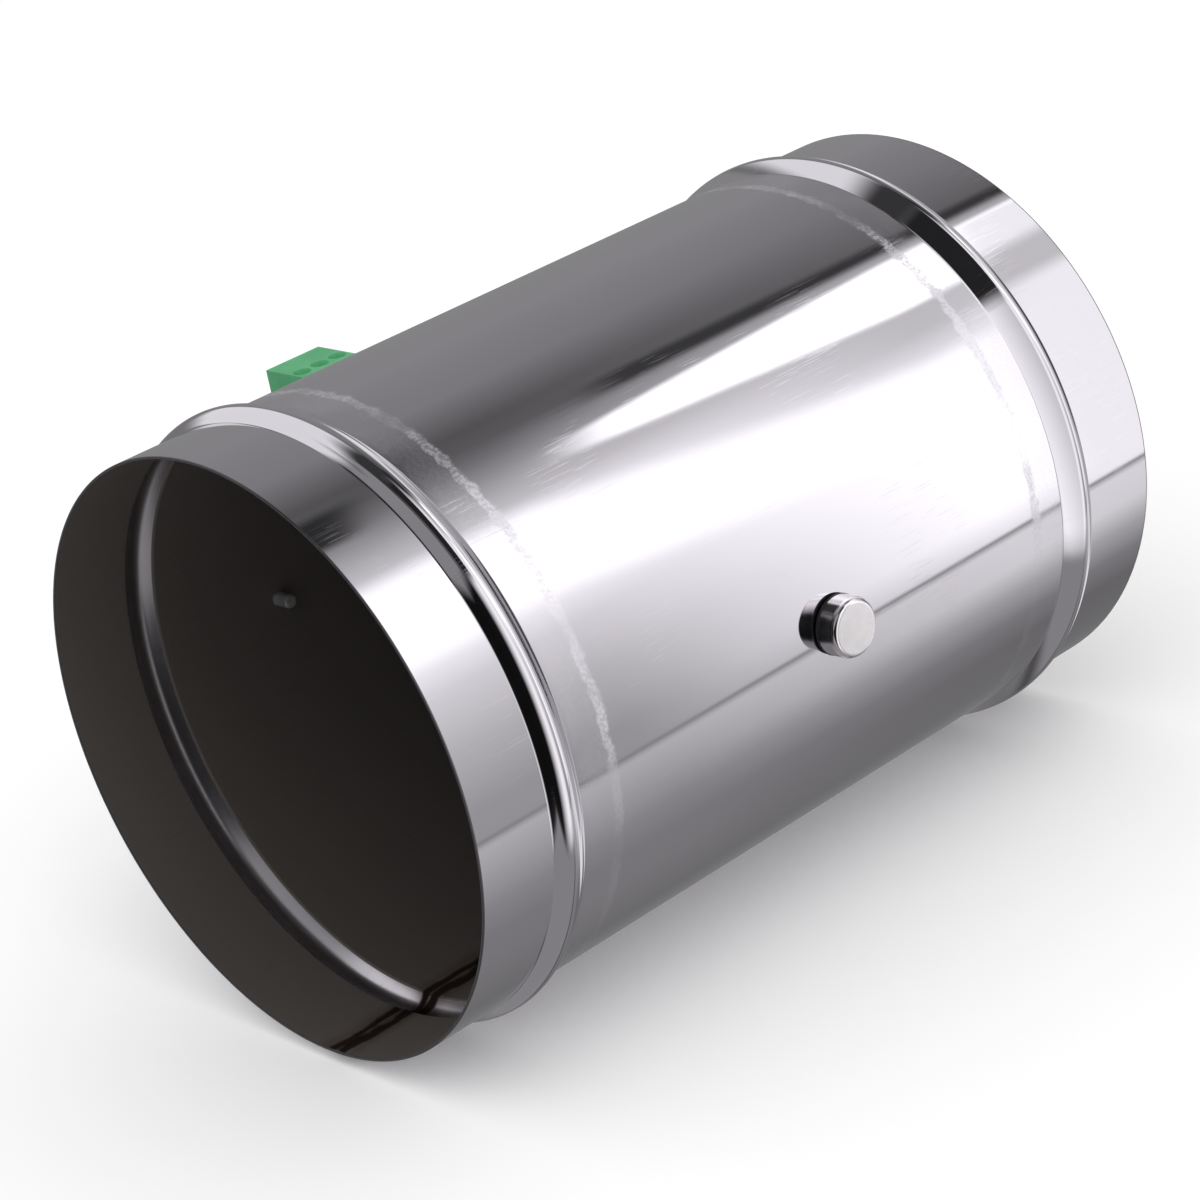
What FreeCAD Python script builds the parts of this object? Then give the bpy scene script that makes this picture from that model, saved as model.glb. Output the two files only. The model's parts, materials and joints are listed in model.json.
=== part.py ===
# Motorized duct damper: a round steel duct section with two beads, a blade on a cross shaft,
# a bearing with a cap on one side and a geared drive on a bracket on the other.
# Frame: X runs along the duct from the inlet end, Y along the blade shaft towards the drive,
# Z up, origin at the centre of the inlet end. Lengths are in millimetres.

import FreeCAD, Part
import Sketcher
import math
import os
import re

os.makedirs("parts", exist_ok=True)
doc = FreeCAD.newDocument("duct_damper")
Vector = FreeCAD.Vector

# Driving sizes, each written once
SIZES = {
    # duct tube
    "tube_length": 190.0,
    "tube_radius": 62.5,
    "sheet_thickness": 0.5,
    "bead_offset": 22.0,
    "bead_half_width": 4.5,
    "bead_rise": 2.2,
    "bead_crest_radius": 3.0,
    # shaft and its bearings
    "shaft_x": 95.0,
    "shaft_radius": 4.0,
    "idle_journal_radius": 3.0,
    "drive_journal_radius": 2.5,
    "flat_depth": 1.0,
    "running_clearance": 0.05,
    "seat_clearance": 0.1,
    "bearing_inset": 0.2,
    "collar_radius": 4.6,
    "collar_reach": 4.15,
    "idle_bush_wall": 0.55,
    "cap_radius": 6.05,
    "cap_length": 4.45,
    "cap_wall": 1.0,
    "cap_edge_radius": 0.8,
    "ring_thickness": 0.6,
    "washer_thickness": 1.0,
    "washer_radius": 5.5,
    "washer_gap": 0.2,
    "drive_sleeve_radius": 7.0,
    "drive_bush_wall": 0.95,
    "seal_ring_section": 0.65,
    # blade
    "blade_gap": 1.5,
    "blade_sheet": 0.8,
    "blade_seal_gap": 0.5,
    "blade_seal_thickness": 1.0,
    "blade_screw_radius": 2.0,
    "blade_screw_pitch": 40.0,
    "blade_head_radius": 3.6,
    "blade_head_height": 2.4,
    "blade_nut_flats": 7.0,
    "blade_nut_height": 3.2,
    "strip_length": 96.0,
    "strip_width": 12.0,
    "strip_thickness": 1.5,
    # bracket and saddle pads
    "stand_off": 11.5,
    "bracket_sheet": 1.5,
    "bracket_height": 30.0,
    "bracket_half_span": 32.5,
    "bracket_bend_radius": 1.0,
    "foot_length": 15.0,
    "foot_screw_offset": 40.0,
    "foot_screw_radius": 1.5,
    "foot_screw_tip": 4.5,
    "pad_thickness": 1.7,
    "pad_height": 18.0,
    "pad_skirt": 3.4,
    # fasteners of the drive
    "screw_radius": 1.5,
    "screw_head_radius": 2.75,
    "screw_head_height": 1.8,
    "nut_flats": 5.5,
    "nut_height": 2.4,
    "hole_clearance": 0.2,
    "screw_proud": 1.0,
    "small_screw_radius": 1.0,
    "small_head_radius": 1.9,
    "small_head_height": 1.3,
    # gearbox frame
    "plate_thickness": 1.5,
    "plate_half_width": 26.0,
    "plate_bottom": 35.0,
    "plate_top": 13.6,
    "pillar_length": 22.0,
    "pillar_radius": 2.5,
    "pillar_x": 22.5,
    "pillar_low": 31.5,
    "pillar_high": 8.5,
    "base_screw_x": 21.0,
    "base_screw_low": 8.0,
    "base_screw_high": 1.5,
    "tab_length": 5.0,
    "tab_width": 6.0,
    "base_tab_x": 9.0,
    "outer_tab_x": 17.0,
    # gear train
    "tooth_module": 0.6,
    "pressure_angle": 25.0,
    "tooth_backlash": 0.14,
    "wheel_teeth": 42,
    "pinion_teeth": 14,
    "fast_wheel_teeth": 35,
    "output_step": 4.9,
    "output_width": 4.0,
    "middle_step": 4.5,
    "fast_gap": 2.0,
    "fine_width": 3.0,
    "layer_overlap": 0.2,
    "first_idler_angle": 250.0,
    "second_idler_angle": 340.0,
    "motor_angle": 100.0,
    "axle_radius": 1.0,
    "sleeve_radius": 2.0,
    "end_play": 0.3,
    "clip_radius": 4.9,
    "clip_thickness": 0.6,
    "clip_groove_depth": 0.5,
    # cam and limit switches
    "cam_gap": 0.3,
    "cam_top_gap": 2.1,
    "cam_low": 6.4,
    "cam_high": 7.6,
    "switch_gap": 1.8,
    "switch_depth": 6.5,
    "switch_height": 12.8,
    "switch_head_gap": 0.3,
    "switch_screw_pitch": 6.5,
    "plunger_length": 4.3,
    "plunger_width": 1.2,
    "contact_pitch": 5.0,
    "contact_length": 3.2,
    "contact_sheet": 0.8,
    "contact_width": 1.6,
    "contact_gap": 0.8,
    # motor
    "motor_radius": 14.0,
    "motor_length": 13.0,
    "motor_sheet": 0.8,
    "ear_offset": 17.0,
    "ear_radius": 3.6,
    "coil_outer": 12.6,
    "coil_inner": 8.2,
    "coil_sink": 0.4,
    "bobbin_wall": 0.8,
    "coil_length": 9.4,
    "rotor_radius": 5.6,
    "rotor_gap": 0.6,
    "rotor_axle_radius": 1.0,
    "rotor_nose": 0.5,
    "pinion_hole_radius": 5.6,
    # board, header and terminal plug
    "board_thickness": 1.0,
    "board_half_width": 24.0,
    "board_set_back": 1.0,
    "plug_pitch": 5.08,
    "plug_poles": 3,
    "plug_x": 5.1,
    "plug_overhang": 2.8,
    "plug_depth": 15.0,
    "plug_top_height": 17.7,
    "plug_head_height": 9.2,
    "plug_tongue_depth": 10.8,
    "header_floor": 3.6,
    "header_wall": 0.9,
    "header_height": 8.1,
    "plug_clearance": 0.2,
    "wire_hole_set_back": 9.8,
    "wire_hole_radius": 1.3,
    "funnel_radius": 2.1,
    "funnel_depth": 2.6,
    "cage_width": 3.8,
    "cage_depth": 7.0,
    "cage_height": 4.5,
    "cage_sheet": 0.6,
    "leaf_lift": 1.0,
    "cage_drop": 0.5,
    "clamp_screw_radius": 1.25,
    "clamp_head_radius": 1.5,
    "clamp_head_height": 2.4,
    "clamp_screw_reach": 2.5,
    "pin_width": 1.0,
    "pin_reach": 7.6,
    "pin_tail": 2.0,
    "lead_radius": 0.7,
    "capacitor_length": 13.0,
    "capacitor_width": 4.6,
    "capacitor_offset": 19.0,
    "varistor_radius": 2.3,
    "varistor_thickness": 2.4,
    "varistor_offset": 12.0,
    "resistor_radius": 1.1,
    "resistor_length": 6.5,
    "resistor_pitch": 4.0,
    "resistor_offset": 11.0,
    "component_gap": 1.5,
    # cover
    "cover_half_width": 28.5,
    "cover_bottom": 38.0,
    "cover_top": 21.4,
    "cover_gap": 1.0,
    "cover_wall": 1.8,
    "cover_corner_radius": 5.0,
    "cover_window_gap": 0.5,
    "boss_radius": 3.4,
}

# Places that follow from the sizes
PLACES = {
    "bore_radius": "tube_radius - sheet_thickness",
    "bearing_start": "bore_radius - bearing_inset",
    "blade_radius": "bore_radius - blade_gap",
    "blade_seal_radius": "bore_radius - blade_seal_gap",
    "idle_end": "tube_radius + collar_reach",
    "cap_face": "idle_end + cap_wall + seat_clearance",
    "cap_back": "cap_face - cap_length",
    "idle_bush_radius": "idle_journal_radius + running_clearance + idle_bush_wall",
    "drive_bush_radius": "shaft_radius + running_clearance + drive_bush_wall",
    "shoulder_y": "bearing_start - end_play",
    "flat_x": "shaft_radius - flat_depth",
    "seal_face": "flat_x + blade_sheet",
    "back_face": "seal_face + blade_seal_thickness",
    "outer_face": "back_face + blade_sheet",
    "head_face": "outer_face + strip_thickness",
    "pad_top": "tube_radius + pad_thickness",
    "plate_y": "tube_radius + stand_off",
    "base_top": "plate_y + plate_thickness",
    "outer_plate_y": "base_top + pillar_length",
    "outer_face_y": "outer_plate_y + plate_thickness",
    "fast_y": "outer_plate_y - fast_gap - fine_width",
    "middle_y": "fast_y - middle_step",
    "output_y": "middle_y - output_step",
    "cam_y": "base_top + washer_gap + washer_thickness + cam_gap",
    "cam_thickness": "output_y - cam_top_gap - cam_y",
    "switch_thickness": "output_y - switch_head_gap - small_head_height - base_top",
    "gear_end": "output_y + output_width",
    "clip_end": "gear_end + clip_thickness",
    "shaft_end": "outer_plate_y + plate_thickness * 0.75",
    "coil_start": "outer_face_y + motor_sheet + running_clearance",
    "motor_end": "outer_face_y + motor_length",
    "board_top": "plate_top + board_thickness",
    "board_length": "motor_end - plate_y - board_set_back",
    "plug_x_low": "shaft_x + plug_x - plug_poles * plug_pitch / 2",
    "plug_width": "plug_poles * plug_pitch",
    "plug_back_y": "outer_face_y + plug_overhang",
    "plug_front_y": "plug_back_y - plug_depth",
    "plug_middle_y": "plug_back_y - plug_depth / 2",
    "plug_top": "board_top + plug_top_height",
    "plug_waist": "plug_top - plug_head_height",
    "plug_low": "board_top + header_floor + plug_clearance",
    "header_depth": "plug_tongue_depth + 2 * plug_clearance + 2 * header_wall",
    "wire_y": "plug_back_y - wire_hole_set_back",
    "cage_front": "wire_y - cage_depth * 0.3",
    "cage_back": "cage_front + cage_depth",
    "cage_low": "plug_waist + (plug_head_height - cage_height) / 2 - cage_drop",
    "clamp_z": "cage_low + cage_height / 2",
    "cover_end": "motor_end + cover_gap + cover_wall",
    "switch_face": "cam_high + switch_gap",
}

sheet = doc.addObject("Spreadsheet::Sheet", "Sizes")
for row, (alias, number) in enumerate(SIZES.items(), start=1):
    sheet.set("A%d" % row, alias)
    sheet.set("B%d" % row, repr(number))
    sheet.setAlias("B%d" % row, alias)
doc.recompute()


def formula(text):
    """Turn a text of plain names into one that points at the cells of the sheet."""
    def swap(found):
        word = found.group(0)
        if word in SIZES:
            return "Sizes." + word
        if word in PLACES:
            return "(" + formula(PLACES[word]) + ")"
        return word
    return re.sub(r"[a-z][a-z_]+", swap, str(text))


def value(text):
    """The number that a text of plain names stands for."""
    return float(sheet.evalExpression(formula(text)))


def bind(item, **formulas):
    """Bind properties of an object to texts of plain names."""
    for name, text in formulas.items():
        item.setExpression(name, formula(text))


def place(item, at):
    """Bind the position of an object to three texts."""
    for axis, text in zip("xyz", at):
        item.setExpression("Placement.Base." + axis, formula(text))


# Turns that lay a cylinder's own axis along the named direction
TURNS = {
    "X": FreeCAD.Rotation(Vector(0, 1, 0), 90),
    "Y": FreeCAD.Rotation(Vector(1, 0, 0), -90),
    "-Y": FreeCAD.Rotation(Vector(1, 0, 0), 90),
    "Z": FreeCAD.Rotation(),
}
NODES = []


def node(item, label):
    """Take an object as a finished sub-part under its own name."""
    item.Label = label
    NODES.append(item)
    return item


def block(size, low, name="Block"):
    """A box from its size and its low corner."""
    item = doc.addObject("Part::Box", name)
    bind(item, Length=size[0], Width=size[1], Height=size[2])
    place(item, low)
    return item


def rod(radius, length, at, axis="Y", name="Rod"):
    """A cylinder from its radius, its length and the centre of its first end."""
    item = doc.addObject("Part::Cylinder", name)
    bind(item, Radius=radius, Height=length)
    item.Placement = FreeCAD.Placement(Vector(), TURNS[axis])
    place(item, at)
    return item


def cone(start_radius, end_radius, length, at, axis="Y", name="Cone"):
    """A cone frustum from its end radii, its length and the centre of its first end."""
    item = doc.addObject("Part::Cone", name)
    bind(item, Radius1=start_radius, Radius2=end_radius, Height=length)
    item.Placement = FreeCAD.Placement(Vector(), TURNS[axis])
    place(item, at)
    return item


def hexagon(flats, height, at, axis="Y", name="Hexagon"):
    """A hexagonal prism, as a nut, from its width across flats."""
    item = doc.addObject("Part::Prism", name)
    item.Polygon = 6
    bind(item, Circumradius="(%s) / sqrt(3)" % flats, Height=height)
    item.Placement = FreeCAD.Placement(Vector(), TURNS[axis])
    place(item, at)
    return item


def join(items, name="Joined"):
    """One shape from several that meet or lie apart."""
    if len(items) == 1:
        return items[0]
    item = doc.addObject("Part::MultiFuse", name)
    item.Shapes = items
    return item


def cut(base, tools, name="Cut"):
    """A shape less a list of others."""
    item = doc.addObject("Part::Cut", name)
    item.Base = base
    item.Tool = join(tools)
    return item


def ring(outer, inner, length, at, axis="Y", name="Ring"):
    """A tube or washer."""
    return cut(rod(outer, length, at, axis), [rod(inner, length, at, axis)], name)


def group(items, name):
    """Like pieces that share one sub-part."""
    item = doc.addObject("Part::Compound", name)
    item.Links = items
    return item


def body_plane(body, role):
    """An origin plane of a body, found by its role."""
    return [item for item in body.Origin.OriginFeatures if item.Role == role][0]


def sketch_on(body, role, name, offset="0"):
    """An empty sketch on one of the body's origin planes."""
    sketch = body.newObject("Sketcher::SketchObject", name)
    sketch.AttachmentSupport = [(body_plane(body, role), "")]
    sketch.MapMode = "FlatFace"
    sketch.setExpression("AttachmentOffset.Base.z", formula(offset))
    return sketch


def arc_through(start, end, radius, turns_left):
    """A circular arc between two points with its centre on the left or the right of the way."""
    chord = end.sub(start)
    half = chord.Length / 2
    rise = math.sqrt(max(radius * radius - half * half, 0.0))
    left = Vector(-chord.y, chord.x, 0).normalize()
    side = 1 if turns_left else -1
    centre = start.add(chord.multiply(0.5)).add(left.multiply(side * rise))
    outward = start.add(end).multiply(0.5).sub(centre).normalize()
    return Part.Arc(start, centre.add(outward.multiply(radius)), end)


def outline(sketch, corners, arcs=None):
    """Draw a closed outline with every corner and radius bound to the sheet.

    corners is a list of pairs of texts; arcs maps the number of a corner to the radius of the
    arc that leaves it and whether that arc turns left.
    """
    arcs = arcs or {}
    points = [Vector(value(u), value(v), 0) for u, v in corners]
    ends = []
    for number, start in enumerate(points):
        end = points[(number + 1) % len(points)]
        if number in arcs:
            radius, turns_left = arcs[number]
            edge = sketch.addGeometry(arc_through(start, end, value(radius), turns_left))
            forward = sketch.getPoint(edge, 1).distanceToPoint(start) < 1e-4
            ends.append((edge, 1, 2) if forward else (edge, 2, 1))
        else:
            edge = sketch.addGeometry(Part.LineSegment(start, end))
            ends.append((edge, 1, 2))
    for number, (edge, _, last) in enumerate(ends):
        after, first, _ = ends[(number + 1) % len(ends)]
        sketch.addConstraint(Sketcher.Constraint("Coincident", edge, last, after, first))
    for number, ((edge, first, _), (u, v)) in enumerate(zip(ends, corners)):
        across = Sketcher.Constraint("DistanceX", -1, 1, edge, first, points[number].x)
        along = Sketcher.Constraint("DistanceY", -1, 1, edge, first, points[number].y)
        sketch.setExpression("Constraints[%d]" % sketch.addConstraint(across), formula(u))
        sketch.setExpression("Constraints[%d]" % sketch.addConstraint(along), formula(v))
    for number, (radius, _) in arcs.items():
        held = Sketcher.Constraint("Radius", ends[number][0], value(radius))
        sketch.setExpression("Constraints[%d]" % sketch.addConstraint(held), formula(radius))


def circle(sketch, radius, u="0", v="0"):
    """Draw a circle with its centre and radius bound to the sheet."""
    centre = Vector(value(u), value(v), 0)
    edge = sketch.addGeometry(Part.Circle(centre, Vector(0, 0, 1), value(radius)))
    across = Sketcher.Constraint("DistanceX", -1, 1, edge, 3, centre.x)
    along = Sketcher.Constraint("DistanceY", -1, 1, edge, 3, centre.y)
    held = Sketcher.Constraint("Radius", edge, value(radius))
    sketch.setExpression("Constraints[%d]" % sketch.addConstraint(across), formula(u))
    sketch.setExpression("Constraints[%d]" % sketch.addConstraint(along), formula(v))
    sketch.setExpression("Constraints[%d]" % sketch.addConstraint(held), formula(radius))


def pad(body, sketch, length, name="Pad", reverse=False):
    """Extrude a sketch by a bound length."""
    item = body.newObject("PartDesign::Pad", name)
    item.Profile = sketch
    bind(item, Length=length)
    item.Reversed = reverse
    return item


def pocket_through(body, sketch, name="Pocket"):
    """Cut a sketch right through its body, both ways."""
    item = body.newObject("PartDesign::Pocket", name)
    item.Profile = sketch
    item.Type = "ThroughAll"
    item.Midplane = True
    return item


def turned(label, corners, arcs=None, origin=("0", "0", "0"), axis="H_Axis", role="XY_Plane"):
    """A turned piece: its half section is drawn and revolved round a sketch axis."""
    body = doc.addObject("PartDesign::Body", label)
    sketch = sketch_on(body, role, label + "_section")
    outline(sketch, corners, arcs)
    spin = body.newObject("PartDesign::Revolution", label + "_turn")
    spin.Profile = sketch
    spin.ReferenceAxis = (sketch, [axis])
    spin.Angle = 360
    place(body, origin)
    return body


def bead_side(middle, radius, shrink, towards):
    """Corners and arcs of one bead on one face of the sheet, walked along or against X."""
    reach = "(bead_half_width^2 + bead_rise^2) / (2 * bead_rise)"
    foot = "(%s - bead_crest_radius + %s)" % (reach, shrink)
    crest = "(bead_crest_radius - %s)" % shrink
    part = "(%s / (%s))" % (foot, reach)
    out = "bead_half_width * (1 - %s)" % part
    up = "bead_rise * %s" % part
    corners = [
        ("%s - bead_half_width" % middle, radius),
        ("%s - %s" % (middle, out), "%s + %s" % (radius, up)),
        ("%s + %s" % (middle, out), "%s + %s" % (radius, up)),
        ("%s + bead_half_width" % middle, radius),
    ]
    if towards < 0:
        corners.reverse()
    turns = [(foot, towards > 0), (crest, towards < 0), (foot, towards > 0)]
    return corners, turns


def duct_tube():
    """The sheet tube with both beads, its bearing holes and the screw holes of the bracket."""
    corners = [("0", "bore_radius"), ("0", "tube_radius")]
    arcs = {}
    walk = [
        ("bead_offset", "tube_radius", "0", 1),
        ("tube_length - bead_offset", "tube_radius", "0", 1),
        None,
        ("tube_length - bead_offset", "bore_radius", "sheet_thickness", -1),
        ("bead_offset", "bore_radius", "sheet_thickness", -1),
    ]
    for step in walk:
        if step is None:
            corners += [("tube_length", "tube_radius"), ("tube_length", "bore_radius")]
            continue
        points, turns = bead_side(*step)
        for number, turn in enumerate(turns):
            arcs[len(corners) + number] = turn
        corners += points
    body = turned("tube_sheet", corners, arcs)
    holes = [
        rod("collar_radius", "bearing_inset * 2 + tube_radius / 10",
            ("shaft_x", "-tube_radius * 1.05", "0"), "Y"),
        rod("drive_sleeve_radius", "tube_radius / 5", ("shaft_x", "tube_radius * 0.9", "0"), "Y"),
    ]
    for side in ("-", "+"):
        at = ("shaft_x %s foot_screw_offset" % side, "tube_radius * 0.9", "0")
        holes.append(rod("foot_screw_radius", "tube_radius / 5", at, "Y"))
    node(cut(body, holes, "duct_tube_cut"), "duct_tube")


def idle_bearing():
    """Collar, bush, dark ring and cap on the side away from the drive."""
    start = ("shaft_x", "-bearing_start", "0")
    node(ring("collar_radius", "idle_bush_radius", "idle_end - bearing_start", start, "-Y"),
         "bearing_collar")
    node(ring("idle_bush_radius", "idle_journal_radius + running_clearance",
              "idle_end - bearing_start", start, "-Y"), "idle_bush")
    back = ("shaft_x", "-cap_back + ring_thickness", "0")
    node(ring("cap_radius + seat_clearance", "collar_radius", "ring_thickness", back, "-Y"),
         "cap_seal_ring")
    corners = [
        ("collar_radius", "-cap_back"),
        ("collar_radius", "-idle_end"),
        ("0", "-idle_end"),
        ("0", "-cap_face"),
        ("cap_radius - cap_edge_radius", "-cap_face"),
        ("cap_radius", "-cap_face + cap_edge_radius"),
        ("cap_radius", "-cap_back"),
    ]
    cap = turned("bearing_cap", corners, {4: ("cap_edge_radius", True)}, ("shaft_x", "0", "0"), "V_Axis")
    node(cap, "bearing_cap")


def drive_bearing():
    """Sleeve, bush and shaft seal on the drive side, and the thrust washer under the cam."""
    start = ("shaft_x", "bearing_start", "0")
    reach = "plate_y - bracket_sheet - bearing_start"
    node(ring("drive_sleeve_radius", "drive_bush_radius", reach, start), "drive_bearing_sleeve")
    node(ring("drive_bush_radius", "shaft_radius + running_clearance", reach, start), "drive_bush")
    seal = doc.addObject("Part::Torus", "shaft_seal")
    bind(seal, Radius1="shaft_radius + seat_clearance + seal_ring_section", Radius2="seal_ring_section")
    seal.Placement = FreeCAD.Placement(Vector(), TURNS["Y"])
    place(seal, ("shaft_x", "plate_y - bracket_sheet + seal_ring_section + running_clearance", "0"))
    node(seal, "shaft_seal_ring")
    node(ring("washer_radius", "shaft_radius + seat_clearance", "washer_thickness",
              ("shaft_x", "base_top + washer_gap", "0")), "thrust_washer")


def blade_screw_places():
    """Centres of the blade screws along the shaft."""
    return ["0 - blade_screw_pitch", "0", "blade_screw_pitch"]


def shaft():
    """The stepped cross shaft with flats for the blade and the hubs and holes for the screws."""
    corners = [
        ("0", "-idle_end + seat_clearance"),
        ("idle_journal_radius", "-idle_end + seat_clearance"),
        ("idle_journal_radius", "-shoulder_y"),
        ("shaft_radius", "-shoulder_y"),
        ("shaft_radius", "gear_end"),
        ("drive_journal_radius - clip_groove_depth", "gear_end"),
        ("drive_journal_radius - clip_groove_depth", "clip_end"),
        ("drive_journal_radius", "clip_end"),
        ("drive_journal_radius", "shaft_end"),
        ("0", "shaft_end"),
    ]
    body = turned("stepped_bar", corners, None, ("shaft_x", "0", "0"), "V_Axis")
    length = "2 * (bearing_start - seat_clearance)"
    half = "0 - bearing_start + seat_clearance"
    tools = [
        block(("flat_depth", length, "2 * shaft_radius"), ("shaft_x + flat_x", half, "0 - shaft_radius")),
        block(("flat_depth", length, "2 * shaft_radius"),
              ("shaft_x - shaft_radius", half, "0 - shaft_radius")),
        block(("flat_depth", "gear_end - base_top", "2 * shaft_radius"),
              ("shaft_x + flat_x", "base_top", "0 - shaft_radius")),
    ]
    for along in blade_screw_places():
        tools.append(rod("blade_screw_radius + seat_clearance / 2", "2 * shaft_radius",
                         ("shaft_x - shaft_radius", along, "0"), "X"))
    node(cut(body, tools, "blade_shaft_cut"), "blade_shaft")


def blade():
    """Two steel discs with the seal disc between them, the strip and the screws with nuts."""
    def disc(label, radius, thickness, face):
        body = doc.addObject("PartDesign::Body", label)
        sketch = sketch_on(body, "YZ_Plane", label + "_outline")
        circle(sketch, radius)
        for along in blade_screw_places():
            circle(sketch, "blade_screw_radius + seat_clearance / 2", along)
        pad(body, sketch, thickness, label + "_pad")
        place(body, ("shaft_x + %s" % face, "0", "0"))
        node(body, label)

    disc("blade_front_disc", "blade_radius", "blade_sheet", "flat_x")
    disc("blade_seal_disc", "blade_seal_radius", "blade_seal_thickness", "seal_face")
    disc("blade_rear_disc", "blade_radius", "blade_sheet", "back_face")
    strip = block(("strip_thickness", "strip_length", "strip_width"),
                  ("shaft_x + outer_face", "0 - strip_length / 2", "0 - strip_width / 2"))
    holes = []
    screws = []
    nuts = []
    for along in blade_screw_places():
        holes.append(rod("blade_screw_radius + seat_clearance / 2", "strip_thickness",
                         ("shaft_x + outer_face", along, "0"), "X"))
        shank = rod("blade_screw_radius", "head_face + flat_x + blade_nut_height + screw_proud",
                    ("shaft_x - flat_x - blade_nut_height - screw_proud", along, "0"), "X")
        head = rod("blade_head_radius", "blade_head_height", ("shaft_x + head_face", along, "0"), "X")
        screws.append(join([shank, head], "blade_screw"))
        at = ("shaft_x - flat_x - blade_nut_height", along, "0")
        nut = hexagon("blade_nut_flats", "blade_nut_height", at, "X")
        nuts.append(cut(nut, [rod("blade_screw_radius", "blade_nut_height", at, "X")], "blade_nut"))
    node(cut(strip, holes, "blade_strip_cut"), "blade_strip")
    node(group(screws, "blade_screw_set"), "blade_screws")
    node(group(nuts, "blade_nut_set"), "blade_nuts")


def bracket():
    """The folded bracket on its saddle pads, with the screws that hold it to the tube."""
    inner = "bracket_half_span - bracket_sheet"
    outer = "bracket_half_span + foot_length"
    half = [
        (outer, "pad_top"),
        (outer, "pad_top + bracket_sheet"),
        ("bracket_half_span", "pad_top + bracket_sheet"),
        ("bracket_half_span", "plate_y"),
    ]
    inside = [
        (inner, "plate_y - bracket_sheet"),
        (inner, "pad_top"),
    ]
    corners = list(half)
    corners += [("0 - (%s)" % u, v) for u, v in reversed(half)]
    corners += [("0 - (%s)" % u, v) for u, v in reversed(inside)]
    corners += inside
    body = doc.addObject("PartDesign::Body", "folded_sheet")
    sketch = sketch_on(body, "XY_Plane", "bracket_fold")
    outline(sketch, corners)
    fold = pad(body, sketch, "bracket_height", "bracket_pad")
    doc.recompute()
    bends = []
    for number, edge in enumerate(fold.Shape.Edges, start=1):
        along_z = abs(edge.tangentAt(edge.FirstParameter).z) > 0.99
        at_plate = abs(edge.CenterOfMass.y - value("plate_y")) < 1e-3
        if along_z and at_plate:
            bends.append("Edge%d" % number)
    soft = body.newObject("PartDesign::Fillet", "bracket_bends")
    soft.Base = (fold, bends)
    bind(soft, Radius="bracket_bend_radius")
    place(body, ("shaft_x", "0", "0 - bracket_height / 2"))
    top = "plate_y - bracket_sheet"
    holes = [rod("drive_sleeve_radius + seat_clearance", "bracket_sheet", ("shaft_x", top, "0"))]
    for x, z in base_screw_places():
        holes.append(rod("screw_radius + hole_clearance", "bracket_sheet", (x, top, z)))
    for x, z in pillar_places():
        holes.append(rod("screw_head_radius + hole_clearance", "bracket_sheet", (x, top, z)))
    pads = []
    screws = []
    for side in ("-", "+"):
        x = "shaft_x %s foot_screw_offset" % side
        foot_hole = (x, "pad_top", "0")
        holes.append(rod("foot_screw_radius + hole_clearance", "bracket_sheet", foot_hole))
        low = "shaft_x %s bracket_half_span %s" % (side, "- foot_length" if side == "-" else "")
        pad_low = ("%s" % low, "pad_top - pad_skirt", "0 - pad_height / 2")
        raw = block(("foot_length", "pad_skirt", "pad_height"), pad_low)
        tools = [
            rod("tube_radius", "tube_length", ("0", "0", "0"), "X"),
            rod("foot_screw_radius + hole_clearance", "2 * pad_skirt",
                (x, "pad_top - 1.5 * pad_skirt", "0")),
        ]
        pads.append(cut(raw, tools, "saddle_pad"))
        head_y = "pad_top + bracket_sheet"
        shank = rod("foot_screw_radius", "%s - bore_radius + foot_screw_tip" % head_y,
                    (x, "bore_radius - foot_screw_tip", "0"))
        head = rod("screw_head_radius", "screw_head_height", (x, head_y, "0"))
        screws.append(join([shank, head], "foot_screw"))
    node(cut(body, holes, "drive_bracket_cut"), "drive_bracket")
    node(group(pads, "saddle_pad_set"), "saddle_pads")
    node(group(screws, "foot_screw_set"), "bracket_foot_screws")


def base_screw_places():
    """Places of the four screws that hold the gearbox base to the bracket."""
    places = []
    for side in ("-", "+"):
        places.append(("shaft_x %s base_screw_x" % side, "0 - base_screw_low"))
        places.append(("shaft_x %s base_screw_x" % side, "base_screw_high"))
    return places


def pillar_places():
    """Places of the four gearbox pillars."""
    places = []
    for side in ("-", "+"):
        places.append(("shaft_x %s pillar_x" % side, "0 - pillar_low"))
        places.append(("shaft_x %s pillar_x" % side, "pillar_high"))
    return places


def gear_centres():
    """Centres of the idlers and the motor, each one mesh distance from the gear before it."""
    def step(start, teeth, angle):
        distance = "(%s) * tooth_module / 2" % teeth
        x = "%s + %s * cos(%s * 1deg)" % (start[0], distance, angle)
        z = "%s + %s * sin(%s * 1deg)" % (start[1], distance, angle)
        return (x, z)
    first = step(("shaft_x", "0"), "wheel_teeth + pinion_teeth", "first_idler_angle")
    second = step(first, "wheel_teeth + pinion_teeth", "second_idler_angle")
    motor = step(second, "fast_wheel_teeth + pinion_teeth", "motor_angle")
    return first, second, motor


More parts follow.
